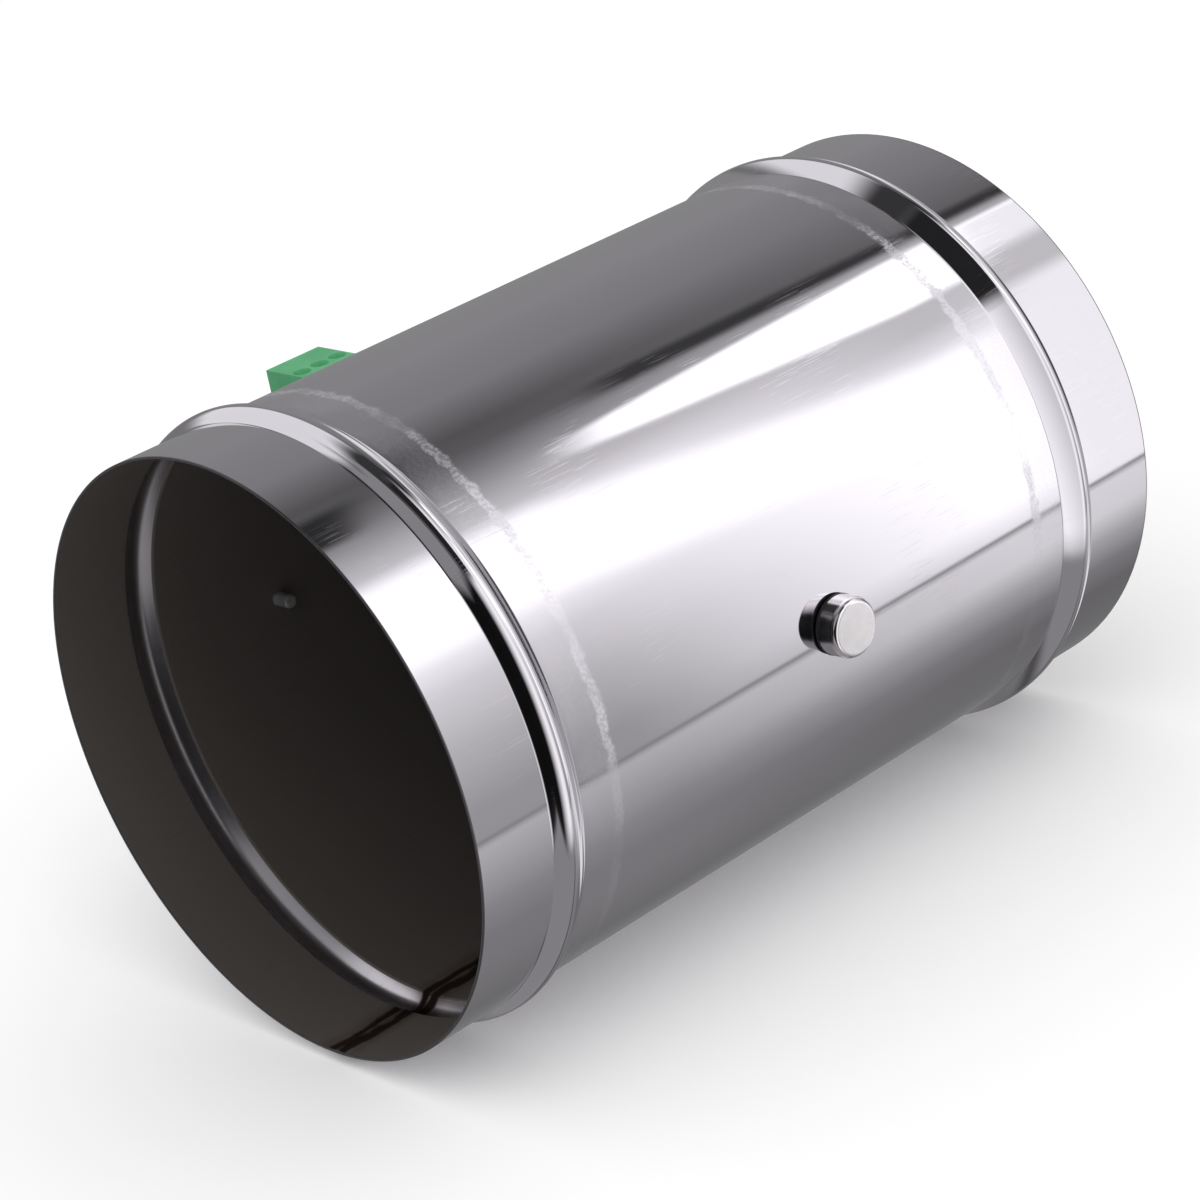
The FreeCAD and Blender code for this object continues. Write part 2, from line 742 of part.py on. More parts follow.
def gearbox_frame():
    """Base plate and outer plate with their pillars, axles and screws."""
    first, second, motor = gear_centres()
    width = "2 * plate_half_width"
    height = "plate_bottom + plate_top"
    low_x = "shaft_x - plate_half_width"
    base = [block((width, "plate_thickness", height), (low_x, "plate_y", "0 - plate_bottom"))]
    outer = [block((width, "plate_thickness", height), (low_x, "outer_plate_y", "0 - plate_bottom"))]
    for side in ("-", "+"):
        for pieces, middle, y in ((base, "base_tab_x", "base_top"), (outer, "outer_tab_x", "outer_face_y")):
            at = ("shaft_x %s %s - tab_width / 2" % (side, middle), y, "plate_top - plate_thickness")
            pieces.append(block(("tab_width", "tab_length", "plate_thickness"), at))
    base_holes = [rod("shaft_radius + seat_clearance", "plate_thickness", ("shaft_x", "plate_y", "0"))]
    outer_holes = [
        rod("drive_journal_radius + running_clearance", "plate_thickness", ("shaft_x", "outer_plate_y", "0")),
        rod("pinion_hole_radius", "plate_thickness", (motor[0], "outer_plate_y", motor[1])),
    ]
    for x, z in (first, second):
        base_holes.append(rod("axle_radius", "plate_thickness", (x, "plate_y", z)))
        outer_holes.append(rod("axle_radius", "plate_thickness", (x, "outer_plate_y", z)))
    for x, z in base_screw_places():
        base_holes.append(rod("screw_radius + hole_clearance", "plate_thickness", (x, "plate_y", z)))
    for x, z in pillar_places():
        base_holes.append(rod("screw_radius + hole_clearance", "plate_thickness", (x, "plate_y", z)))
        outer_holes.append(rod("screw_radius + hole_clearance", "plate_thickness", (x, "outer_plate_y", z)))
    for x, z in switch_screw_places():
        base_holes.append(rod("small_screw_radius", "plate_thickness", (x, "plate_y", z)))
    for x, z in motor_screw_places():
        outer_holes.append(rod("small_screw_radius", "plate_thickness", (x, "outer_plate_y", z)))
    for x, y in board_screw_places():
        hole = rod("small_screw_radius", "plate_thickness", (x, y, "plate_top - plate_thickness"), "Z")
        (base_holes if y.startswith("base_top") else outer_holes).append(hole)
    node(cut(join(base), base_holes, "base_plate_cut"), "gearbox_base_plate")
    node(cut(join(outer), outer_holes, "outer_plate_cut"), "gearbox_outer_plate")

    pillars = []
    inner_screws = []
    outer_screws = []
    for number, (x, z) in enumerate(pillar_places()):
        pillars.append(ring("pillar_radius", "screw_radius", "pillar_length", (x, "base_top", z)))
        shank = rod("screw_radius", "pillar_length / 3 + plate_thickness", (x, "plate_y", z))
        head = rod("screw_head_radius", "screw_head_height", (x, "plate_y - screw_head_height", z))
        inner_screws.append(join([shank, head], "inner_plate_screw"))
        if number not in COVER_PILLARS:
            shank = rod("screw_radius", "pillar_length / 3 + plate_thickness",
                        (x, "outer_plate_y - pillar_length / 3", z))
            head = rod("screw_head_radius", "screw_head_height", (x, "outer_face_y", z))
            outer_screws.append(join([shank, head], "outer_plate_screw"))
    node(group(pillars, "pillar_set"), "gearbox_pillars")
    node(group(inner_screws, "inner_screw_set"), "base_plate_screws")
    node(group(outer_screws, "outer_screw_set"), "outer_plate_screws")

    screws = []
    nuts = []
    for x, z in base_screw_places():
        shank = rod("screw_radius", "plate_thickness + bracket_sheet + nut_height + screw_proud",
                    (x, "plate_y - bracket_sheet - nut_height - screw_proud", z))
        head = rod("screw_head_radius", "screw_head_height", (x, "base_top", z))
        screws.append(join([shank, head], "base_screw"))
        at = (x, "plate_y - bracket_sheet - nut_height", z)
        nut = hexagon("nut_flats", "nut_height", at)
        nuts.append(cut(nut, [rod("screw_radius", "nut_height", at)], "base_nut"))
    node(group(screws, "base_screw_set"), "bracket_screws")
    node(group(nuts, "base_nut_set"), "bracket_nuts")

    axles = []
    for x, z in (first, second):
        axles.append(rod("axle_radius", "outer_face_y - plate_y", (x, "plate_y", z)))
    node(group(axles, "axle_set"), "idler_axles")


# Pillars, counted as pillar_places lists them, whose outer screw comes through the cover
COVER_PILLARS = (0, 3)


def tooth_outline(teeth, centre, y, first_angle):
    """Closed polygon of an external gear in the plane across the shaft."""
    module = value("tooth_module")
    pressure = math.radians(value("pressure_angle"))
    pitch = teeth * module / 2
    base = pitch * math.cos(pressure)
    tip = pitch + module
    root = pitch - 1.25 * module
    half_tooth = (math.pi * module / 2 - value("tooth_backlash") / 2) / (2 * pitch)
    rolled = math.tan(pressure) - pressure
    flank = []
    steps = 4
    start = max(base, root)
    for step in range(steps + 1):
        radius = start + (tip - start) * step / steps
        angle = math.acos(min(base / radius, 1.0))
        spread = half_tooth + rolled - (math.tan(angle) - angle)
        flank.append((radius, spread))
    if root < base:
        flank.insert(0, (root, flank[0][1]))
    points = []
    for tooth in range(teeth):
        middle = math.radians(first_angle) + 2 * math.pi * tooth / teeth
        for radius, spread in flank:
            points.append((radius, middle - spread))
        for radius, spread in reversed(flank):
            points.append((radius, middle + spread))
    ring_points = []
    for radius, angle in points:
        x = centre[0] + radius * math.cos(angle)
        z = centre[1] + radius * math.sin(angle)
        ring_points.append(Vector(x, y, z))
    ring_points.append(ring_points[0])
    return Part.Face(Part.makePolygon(ring_points))


def toothed(teeth, centre, y, width, first_angle):
    """A toothed disc."""
    return tooth_outline(teeth, centre, y, first_angle).extrude(Vector(0, width, 0))


def drum(radius, centre, y, length):
    """A plain cylinder across the gear plates."""
    return Part.makeCylinder(radius, length, Vector(centre[0], y, centre[1]), Vector(0, 1, 0))


def shaped(shape, label):
    """A sub-part whose shape the code makes, as for gear teeth."""
    item = doc.addObject("Part::Feature", label)
    item.Shape = shape.removeSplitter()
    item.Placement = FreeCAD.Placement()
    return node(item, label)


def shaft_socket(y, length):
    """The D section of the shaft with its seat clearance, as a cutter for hubs."""
    gap = value("running_clearance") / 2
    centre = (value("shaft_x"), 0.0)
    round_part = drum(value("shaft_radius") + gap, centre, y, length)
    side = 2 * value("shaft_radius")
    flat = Part.makeBox(side, length, 2 * side, Vector(centre[0] + value("flat_x") + gap, y, -side))
    return round_part.cut(flat)


def gears():
    """Output gear, the two idlers and the rotor pinion, all in mesh at rest."""
    first, second, motor = [(value(x), value(z)) for x, z in gear_centres()]
    shaft_centre = (value("shaft_x"), 0.0)
    wheel = int(value("wheel_teeth"))
    pinion = int(value("pinion_teeth"))
    fast = int(value("fast_wheel_teeth"))
    over = value("layer_overlap")
    fine = value("fine_width")
    low = value("base_top + end_play")
    high = value("outer_plate_y - end_play")
    angles = [value(name) for name in ("first_idler_angle", "second_idler_angle", "motor_angle")]

    def facing(angle, teeth):
        """First tooth angle of a gear whose gap faces back along the line of centres."""
        return angle + 180 + 180.0 / teeth

    output = toothed(wheel, shaft_centre, value("output_y"), value("output_width"), angles[0])
    shaped(output.cut(shaft_socket(value("output_y"), value("output_width"))), "output_gear")

    def idler(centre, pinion_span, wheel_span, wheel_teeth, back_angle, on_angle, label):
        pinion_y, pinion_width = pinion_span
        wheel_y, wheel_width = wheel_span
        body = drum(value("sleeve_radius"), centre, low, high - low)
        body = body.fuse(toothed(pinion, centre, pinion_y, pinion_width, facing(back_angle, pinion)))
        body = body.fuse(toothed(wheel_teeth, centre, wheel_y, wheel_width, on_angle))
        body = body.cut(drum(value("axle_radius + running_clearance"), centre, low, high - low))
        shaped(body, label)

    first_pinion = (value("output_y") - over, value("middle_y - output_y") + over)
    second_pinion = (value("middle_y") - over, value("fast_y - middle_y") + over)
    idler(first, first_pinion, (value("middle_y"), fine), wheel, angles[0], angles[1], "first_idler_gear")
    idler(second, second_pinion, (value("fast_y"), fine), fast, angles[1], angles[2], "second_idler_gear")

    axle_start = value("fast_y - layer_overlap - rotor_nose")
    axle_length = value("motor_end - motor_sheet - end_play") - axle_start
    axle = drum(value("rotor_axle_radius"), motor, axle_start, axle_length)
    pinion_shape = toothed(pinion, motor, value("fast_y") - over, fine + 2 * over, facing(angles[2], pinion))
    shaped(pinion_shape.cut(drum(value("rotor_axle_radius"), motor, axle_start, axle_length)), "rotor_pinion")
    shaped(axle, "rotor_axle")
    magnet_y = value("coil_start + motor_sheet + end_play")
    magnet_length = value("coil_length - 2 * end_play")
    magnet = drum(value("rotor_radius"), motor, magnet_y, magnet_length)
    shaped(magnet.cut(drum(value("rotor_axle_radius"), motor, magnet_y, magnet_length)), "rotor_magnet")
    clip_centre = ("shaft_x", "gear_end", "0")
    node(ring("clip_radius", "drive_journal_radius - clip_groove_depth + running_clearance",
              "clip_thickness", clip_centre), "shaft_clip")


def limit_cam():
    """The cam rises over one quarter turn and falls over the opposite one."""
    low = value("cam_low")
    high = value("cam_high")
    centre_x = value("shaft_x")
    y = value("cam_y")
    steps_per_quarter = 30
    points = []
    for step in range(4 * steps_per_quarter):
        share = step / steps_per_quarter
        if share < 1:
            radius = low + (high - low) * share
        elif share < 2:
            radius = high
        elif share < 3:
            radius = high - (high - low) * (share - 2)
        else:
            radius = low
        angle = math.pi / 2 * share
        points.append(Vector(centre_x + radius * math.cos(angle), y, radius * math.sin(angle)))
    points.append(points[0])
    thickness = value("cam_thickness")
    solid = Part.Face(Part.makePolygon(points)).extrude(Vector(0, thickness, 0))
    shaped(solid.cut(shaft_socket(y, thickness)), "limit_cam")


def switch_screw_places():
    """Places of the four screws of the limit switches."""
    places = []
    middle = "(switch_face + switch_depth * 0.7)"
    for side in ("-", "+"):
        for end in ("0 - switch_screw_pitch / 2", "switch_screw_pitch / 2"):
            places.append(("shaft_x %s %s" % (side, middle), end))
    return places


def limit_switches():
    """Two switches beside the cam with their plungers, contacts and screws."""
    travel = "(cam_high - cam_low)"
    contacts = []
    screws = []
    for side, label in (("-", "closed"), ("+", "open")):
        mirrored = side == "+"
        near = "shaft_x %s switch_face" % side
        low_x = near if mirrored else near + " - switch_depth"
        body = block(("switch_depth", "switch_thickness", "switch_height"),
                     (low_x, "base_top", "0 - switch_height / 2"))
        middle_y = "cam_y + cam_thickness / 2"
        tip = "shaft_x + cam_low + seat_clearance" if mirrored else "shaft_x - cam_high - seat_clearance"
        plunger_low = tip if mirrored else tip + " - plunger_length"
        size = ("plunger_length", "plunger_width", "plunger_width")
        at = (plunger_low, middle_y + " - plunger_width / 2", "0 - plunger_width / 2")
        node(block(size, at), "limit_plunger_" + label)
        room = "(plunger_length + %s)" % travel
        slot_low = tip if mirrored else "%s - plunger_length - seat_clearance" % tip
        slot = block((room + " + seat_clearance", "plunger_width + 2 * seat_clearance",
                      "plunger_width + 2 * seat_clearance"),
                     (slot_low, middle_y + " - plunger_width / 2 - seat_clearance",
                      "0 - plunger_width / 2 - seat_clearance"))
        holes = [slot]
        for x, z in switch_screw_places():
            if x.startswith("shaft_x " + side):
                holes.append(rod("small_screw_radius + seat_clearance", "switch_thickness",
                                 (x, "base_top", z)))
                shank = rod("small_screw_radius", "switch_thickness + plate_thickness", (x, "plate_y", z))
                head = rod("small_head_radius", "small_head_height", (x, "base_top + switch_thickness", z))
                screws.append(join([shank, head], "switch_screw"))
        node(cut(body, holes, "switch_body"), "limit_switch_" + label)
        for end in ("0 - contact_pitch", "0", "contact_pitch"):
            back = "switch_face + switch_depth"
            contact_x = "shaft_x + %s" % back if mirrored else "shaft_x - %s - contact_length" % "(%s)" % back
            contacts.append(block(("contact_length", "contact_sheet", "contact_width"),
                                  (contact_x, "base_top + screw_head_height + contact_gap",
                                   "%s - contact_width / 2" % end)))
    node(group(contacts, "contact_set"), "switch_contacts")
    node(group(screws, "switch_screw_set"), "switch_screws")


def motor_screw_places():
    """Places of the two motor screws on the ears of the can."""
    _, _, motor = gear_centres()
    places = []
    for angle in EAR_ANGLES:
        x = "%s + ear_offset * cos(%d * 1deg)" % (motor[0], angle)
        z = "%s + ear_offset * sin(%d * 1deg)" % (motor[1], angle)
        places.append((x, z))
    return places


# Directions of the two ears of the motor can, in degrees
EAR_ANGLES = (150, 330)


def motor_unit():
    """Small motor: front plate with ears, can, bobbin and winding; the rotor comes with the gears."""
    _, _, motor = gear_centres()
    face = (motor[0], "outer_face_y", motor[1])
    ears = [rod("motor_radius", "motor_sheet", face)]
    holes = [rod("rotor_axle_radius + running_clearance", "motor_sheet", face)]
    screws = []
    for angle, (x, z) in zip(EAR_ANGLES, motor_screw_places()):
        ears.append(rod("ear_radius", "motor_sheet", (x, "outer_face_y", z)))
        holes.append(rod("small_screw_radius + seat_clearance", "motor_sheet", (x, "outer_face_y", z)))
        shank = rod("small_screw_radius", "motor_sheet + plate_thickness", (x, "outer_plate_y", z))
        head = rod("small_head_radius", "small_head_height", (x, "outer_face_y + motor_sheet", z))
        screws.append(join([shank, head], "motor_screw"))
    node(cut(join(ears), holes, "motor_plate_cut"), "motor_front_plate")
    node(group(screws, "motor_screw_set"), "motor_screws")
    after_plate = (motor[0], "outer_face_y + motor_sheet", motor[1])
    can = rod("motor_radius", "motor_length - motor_sheet", after_plate)
    room = rod("motor_radius - motor_sheet", "motor_length - 2 * motor_sheet", after_plate)
    node(cut(can, [room], "motor_can_cut"), "motor_can")
    start = (motor[0], "coil_start", motor[1])
    spool = rod("coil_outer", "coil_length", start)
    groove_at = (motor[0], "coil_start + bobbin_wall", motor[1])
    groove = ring("coil_outer + bobbin_wall", "coil_inner", "coil_length - 2 * bobbin_wall", groove_at)
    bore = rod("rotor_radius + rotor_gap", "coil_length", start)
    node(cut(spool, [groove, bore], "bobbin_cut"), "coil_bobbin")
    node(ring("coil_outer - coil_sink", "coil_inner", "coil_length - 2 * bobbin_wall", groove_at),
         "coil_winding")


def board_screw_places():
    """Places of the four screws that hold the board to the tabs of the plates."""
    places = []
    for side in ("-", "+"):
        places.append(("shaft_x %s base_tab_x" % side, "base_top + tab_length / 2"))
        places.append(("shaft_x %s outer_tab_x" % side, "outer_face_y + tab_length / 2"))
    return places


def pole_places():
    """Centres of the terminal poles along X."""
    poles = int(value("plug_poles"))
    return ["plug_x_low + plug_pitch * %.1f" % (pole + 0.5) for pole in range(poles)]


def circuit_board():
    """The board on the top edges of both plates, with its parts and screws."""
    board = block(("2 * board_half_width", "board_length", "board_thickness"),
                  ("shaft_x - board_half_width", "plate_y + board_set_back", "plate_top"))
    holes = []
    screws = []
    for x, y in board_screw_places():
        holes.append(rod("small_screw_radius + seat_clearance", "board_thickness", (x, y, "plate_top"), "Z"))
        shank = rod("small_screw_radius", "board_thickness + plate_thickness",
                    (x, y, "plate_top - plate_thickness"), "Z")
        head = rod("small_head_radius", "small_head_height", (x, y, "board_top"), "Z")
        screws.append(join([shank, head], "board_screw"))
    for x in pole_places():
        holes.append(block(("pin_width", "pin_width", "board_thickness"),
                           ("%s - pin_width / 2" % x, "plug_middle_y - pin_width / 2", "plate_top")))
    node(cut(board, holes, "board_cut"), "circuit_board")
    node(group(screws, "board_screw_set"), "board_screws")
    capacitor = block(("capacitor_length", "capacitor_width", "capacitor_width"),
                      ("shaft_x - capacitor_offset", "plug_front_y", "board_top"))
    varistor_at = ("shaft_x - varistor_offset", "plug_middle_y + 2 * component_gap",
                   "board_top + varistor_radius")
    varistor = rod("varistor_radius", "varistor_thickness", varistor_at)
    parts = [capacitor, varistor]
    for number in range(3):
        resistor_x = "shaft_x - resistor_offset + %d * resistor_pitch" % number
        at = (resistor_x, "plug_back_y + component_gap", "board_top + resistor_radius")
        parts.append(rod("resistor_radius", "resistor_length", at))
    node(group(parts, "board_part_set"), "board_components")


def terminal():
    """Header with pins on the board, and the plug with its clamps."""
    header_y = "plug_middle_y - header_depth / 2"
    shell = block(("plug_width", "header_depth", "header_height"), ("plug_x_low", header_y, "board_top"))
    room = block(("plug_width", "header_depth - 2 * header_wall", "header_height - header_floor"),
                 ("plug_x_low", header_y + " + header_wall", "board_top + header_floor"))
    pins = []
    pin_holes = []
    for x in pole_places():
        at_x = "%s - pin_width / 2" % x
        at_y = "plug_middle_y - pin_width / 2"
        pins.append(block(("pin_width", "pin_width", "pin_tail + board_thickness + pin_reach"),
                          (at_x, at_y, "plate_top - pin_tail")))
        pin_holes.append(block(("pin_width", "pin_width", "header_floor"), (at_x, at_y, "board_top")))
    node(cut(shell, [room] + pin_holes, "header_cut"), "terminal_header")
    node(group(pins, "pin_set"), "header_pins")

    head = block(("plug_width", "plug_depth", "plug_head_height"),
                 ("plug_x_low", "plug_front_y", "plug_waist"))
    tongue = block(("plug_width", "plug_tongue_depth", "plug_waist - plug_low"),
                   ("plug_x_low", "plug_middle_y - plug_tongue_depth / 2", "plug_low"))
    tools = []
    cages = []
    screws = []
    gap = "seat_clearance"
    for x in pole_places():
        wire_top = (x, "wire_y", "plug_top - funnel_depth")
        tools.append(cone("wire_hole_radius", "funnel_radius", "funnel_depth", wire_top, "Z"))
        tools.append(rod("wire_hole_radius", "plug_top - cage_low - funnel_depth",
                         (x, "wire_y", "cage_low"), "Z"))
        tools.append(block(("cage_width + 2 * %s" % gap, "cage_depth + 2 * %s" % gap,
                            "cage_height + 2 * %s" % gap),
                           ("%s - cage_width / 2 - %s" % (x, gap), "cage_front - %s" % gap,
                            "cage_low - %s" % gap)))
        tools.append(rod("clamp_head_radius + %s" % gap, "plug_back_y - cage_back",
                         (x, "cage_back", "clamp_z")))
        slot = "pin_width + 2 * (cage_sheet + 3 * seat_clearance)"
        tools.append(block((slot, slot, "cage_low - plug_low"),
                           ("%s - (%s) / 2" % (x, slot), "plug_middle_y - (%s) / 2" % slot, "plug_low")))
        cages.append(clamp_cage(x))
        shank_at = (x, "cage_back - cage_sheet - clamp_screw_reach", "clamp_z")
        shank_length = "cage_sheet + clamp_screw_reach + screw_proud"
        shank = rod("clamp_screw_radius", shank_length, shank_at)
        head_at = (x, "cage_back + screw_proud", "clamp_z")
        screw_head = rod("clamp_head_radius", "clamp_head_height", head_at)
        screws.append(join([shank, screw_head], "clamp_screw"))
    node(cut(join([head, tongue]), tools, "plug_cut"), "terminal_plug")
    node(group(cages, "cage_set"), "plug_clamp_cages")
    node(group(screws, "clamp_screw_set"), "plug_clamp_screws")


def clamp_cage(x):
    """One clamp cage with the two contact leaves that hold the header pin."""
    box = block(("cage_width", "cage_depth", "cage_height"),
                ("%s - cage_width / 2" % x, "cage_front", "cage_low"))
    way = block(("cage_width - 2 * cage_sheet", "cage_depth - 2 * cage_sheet", "cage_height"),
                ("%s - cage_width / 2 + cage_sheet" % x, "cage_front + cage_sheet", "cage_low"))
    thread = rod("clamp_screw_radius", "2 * cage_sheet", (x, "cage_back - 1.5 * cage_sheet", "clamp_z"))
    pieces = [cut(box, [way, thread])]
    leaf_gap = "pin_width / 2 + seat_clearance"
    for start in ("0 - (%s) - cage_sheet" % leaf_gap, leaf_gap):
        leaf_at = ("%s + %s" % (x, start), "plug_middle_y - pin_width / 2", "plug_low + leaf_lift")
        leaf_length = "cage_low + cage_sheet - plug_low - leaf_lift"
        pieces.append(block(("cage_sheet", "pin_width", leaf_length), leaf_at))
    bridge = block(("cage_width", "pin_width", "cage_sheet"),
                   ("%s - cage_width / 2" % x, "plug_middle_y - pin_width / 2", "cage_low"))
    pieces.append(bridge)
    return join(pieces, "clamp_cage")


def lead_tube(points, radius):
    """A round lead along straight runs joined by tangent arcs."""
    edges = []
    start = points[0]
    for before, corner, after in zip(points, points[1:], points[2:]):
        back = before.sub(corner)
        on = after.sub(corner)
        reach = 0.45 * min(back.Length, on.Length)
        near = corner.add(Vector(back).normalize().multiply(reach))
        far = corner.add(Vector(on).normalize().multiply(reach))
        turn = math.pi - back.getAngle(on)
        arc_radius = reach / math.tan(turn / 2)
        inward = Vector(back).normalize().add(Vector(on).normalize()).normalize()
        centre = corner.add(Vector(inward).multiply(arc_radius / math.cos(turn / 2)))
        middle = centre.sub(Vector(inward).multiply(arc_radius))
        edges.append(Part.LineSegment(start, near).toShape())
        edges.append(Part.Arc(near, middle, far).toShape())
        start = far
    edges.append(Part.LineSegment(start, points[-1]).toShape())
    path = Part.Wire(edges)
    direction = points[1].sub(points[0])
    section = Part.Wire(Part.makeCircle(radius, points[0], direction))
    return path.makePipeShell([section], True, False)


def inner_leads():
    """Leads from the switch contacts and the motor coil up to the board."""
    radius = value("lead_radius")
    top = value("plate_top")
    leads = []
    contact_end = value("switch_face + switch_depth + contact_length")
    y = value("base_top + screw_head_height + contact_gap + contact_sheet") + radius
    for side in (-1, 1):
        x = value("shaft_x") + side * (contact_end - radius)
        z = value("contact_pitch - contact_width / 2")
        leads.append(lead_tube([Vector(x, y, z), Vector(x, y, top)], radius))
    shaped(Part.makeCompound(leads), "switch_leads")
    _, _, motor = gear_centres()
    out = value("outer_face_y + motor_sheet") + value("motor_length") / 3
    pair = []
    for side in (-1, 1):
        x = value(motor[0]) + side * 2.5 * radius
        start_z = value(motor[1]) + value("motor_radius")
        pair.append(lead_tube([Vector(x, out, start_z), Vector(x, out, top)], radius))
    shaped(Part.makeCompound(pair), "motor_leads")


def cover():
    """The cover shell with rounded corners, its window for the terminal and its screws."""
    size = ("2 * cover_half_width", "cover_end - plate_y", "cover_bottom + cover_top")
    raw = block(size, ("shaft_x - cover_half_width", "plate_y", "0 - cover_bottom"), "cover_raw")
    doc.recompute()
    soft = doc.addObject("Part::Fillet", "cover_soft")
    soft.Base = raw
    corners = []
    for number, edge in enumerate(raw.Shape.Edges, start=1):
        if abs(edge.tangentAt(edge.FirstParameter).y) > 0.99:
            corners.append((number, value("cover_corner_radius"), value("cover_corner_radius")))
    soft.Edges = corners
    room = block(("2 * cover_half_width - 2 * cover_wall", "cover_end - plate_y - cover_wall",
                  "cover_bottom + cover_top - 2 * cover_wall"),
                 ("shaft_x - cover_half_width + cover_wall", "plate_y", "0 - cover_bottom + cover_wall"))
    gap = "cover_window_gap"
    window = block(("plug_width + 2 * %s" % gap, "header_depth + 2 * %s" % gap, "2 * cover_wall"),
                   ("plug_x_low - %s" % gap, "plug_middle_y - header_depth / 2 - %s" % gap,
                    "cover_top - 1.5 * cover_wall"))
    shell = cut(soft, [room, window])
    bosses = []
    holes = []
    screws = []
    for number, (x, z) in enumerate(pillar_places()):
        if number in COVER_PILLARS:
            foot = (x, "outer_face_y", z)
            bosses.append(rod("boss_radius", "cover_end - outer_face_y - cover_wall / 2", foot))
            holes.append(rod("screw_radius + hole_clearance", "cover_end - outer_face_y", foot))
            shank = rod("screw_radius", "cover_end - outer_plate_y + pillar_length / 3",
                        (x, "outer_plate_y - pillar_length / 3", z))
            head = rod("screw_head_radius", "screw_head_height", (x, "cover_end", z))
            screws.append(join([shank, head], "cover_screw"))
    node(cut(join([shell] + bosses), holes, "cover_cut"), "drive_cover")
    node(group(screws, "cover_screw_set"), "cover_screws")


duct_tube()
idle_bearing()
drive_bearing()
shaft()
blade()
bracket()
gearbox_frame()
gears()
limit_cam()
limit_switches()
motor_unit()
circuit_board()
terminal()
inner_leads()
cover()
doc.recompute()

# Every object and every sub-part is sound before anything is written
for item in doc.Objects:
    if "Invalid" in item.State or "Error" in item.State:
        raise RuntimeError("object %s did not build: %s" % (item.Name, item.State))
for item in NODES:
    if item.Shape.isNull() or not item.Shape.isValid() or not item.Shape.Solids:
        raise RuntimeError("sub-part %s has no sound shape" % item.Label)
for item in NODES:
    item.Shape.exportStep("parts/%s.step" % item.Label)
    print("%-24s %2d solids %12.2f mm3" % (item.Label, len(item.Shape.Solids), item.Shape.Volume))
print("%d sub-parts" % len(NODES))
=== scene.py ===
"""Looks of a round duct damper with a geared drive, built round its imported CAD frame.

Everything is in the frame of the CAD: X along the duct from the inlet end, Y along the blade shaft
towards the drive, Z up. Lengths are in metres and angles in degrees, where nothing else is said.
"""

from __future__ import annotations

import json
import logging
import math
from dataclasses import dataclass, field
from enum import Enum
from typing import Any

import bmesh
import bpy
from mathutils import Matrix, Vector

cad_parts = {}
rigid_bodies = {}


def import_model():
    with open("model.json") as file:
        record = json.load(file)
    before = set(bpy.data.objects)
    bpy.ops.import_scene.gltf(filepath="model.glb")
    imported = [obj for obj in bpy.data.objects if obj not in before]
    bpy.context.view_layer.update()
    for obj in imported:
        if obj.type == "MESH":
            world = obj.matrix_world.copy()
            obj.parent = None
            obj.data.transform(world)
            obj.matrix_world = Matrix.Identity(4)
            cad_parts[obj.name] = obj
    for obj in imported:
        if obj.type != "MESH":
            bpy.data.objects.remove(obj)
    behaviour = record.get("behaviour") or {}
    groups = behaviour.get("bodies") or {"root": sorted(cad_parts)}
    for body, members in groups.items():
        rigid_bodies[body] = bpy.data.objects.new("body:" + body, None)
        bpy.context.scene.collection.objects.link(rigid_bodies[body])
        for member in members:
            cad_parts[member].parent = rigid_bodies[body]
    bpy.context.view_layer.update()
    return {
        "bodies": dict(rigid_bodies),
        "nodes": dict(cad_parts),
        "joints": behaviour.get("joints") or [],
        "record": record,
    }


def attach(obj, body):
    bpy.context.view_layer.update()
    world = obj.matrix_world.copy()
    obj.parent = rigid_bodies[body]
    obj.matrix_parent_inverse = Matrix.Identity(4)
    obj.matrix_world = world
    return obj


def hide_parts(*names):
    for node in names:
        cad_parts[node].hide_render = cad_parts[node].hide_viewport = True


LOG = logging.getLogger("duct_damper")
MM = 0.001

# Sizes of the duct that its pieces and its finish share
DUCT_LENGTH = 190 * MM
DUCT_RADIUS = 62.5 * MM
SHEET = 0.5 * MM
SHAFT = 95 * MM
WELD_TURN = 3.0

# Points closer than this are one point
SAME_POINT = 1e-6

# Kinds of node that the finishes and the studio use often, and their settings
MATH = "ShaderNodeMath"
VECTOR_MATH = "ShaderNodeVectorMath"
RANGE = "ShaderNodeMapRange"
NOISE = "ShaderNodeTexNoise"
MIX = "ShaderNodeMix"
SMOOTH = {"interpolation_type": "SMOOTHSTEP"}
PLUS = {"operation": "ADD"}
MINUS = {"operation": "SUBTRACT"}
TIMES = {"operation": "MULTIPLY"}
TIMES_PLUS = {"operation": "MULTIPLY_ADD"}
LARGER = {"operation": "MAXIMUM"}
UNSIGNED = {"operation": "ABSOLUTE"}
BELOW = {"operation": "LESS_THAN"}
ABOVE = {"operation": "GREATER_THAN"}
ANGLE = {"operation": "ARCTAN2"}
COLOURS = {"data_type": "RGBA"}
LEVELS = {"data_type": "FLOAT"}


def light_of(share: float) -> float:
    """Linear light of an sRGB value from 0 to 1, or above for more than white."""
    return share / 12.92 if share <= 0.04045 else ((share + 0.055) / 1.055) ** 2.4


def linear(colour: str) -> tuple[float, float, float, float]:
    """Turn an sRGB hex colour into linear light.

    Args:
        colour: Six hex digits with a leading hash.

    Returns:
        Linear red, green and blue, and full opacity.
    """
    red, green, blue = (light_of(int(colour[i : i + 2], 16) / 255) for i in (1, 3, 5))
    return (red, green, blue, 1.0)


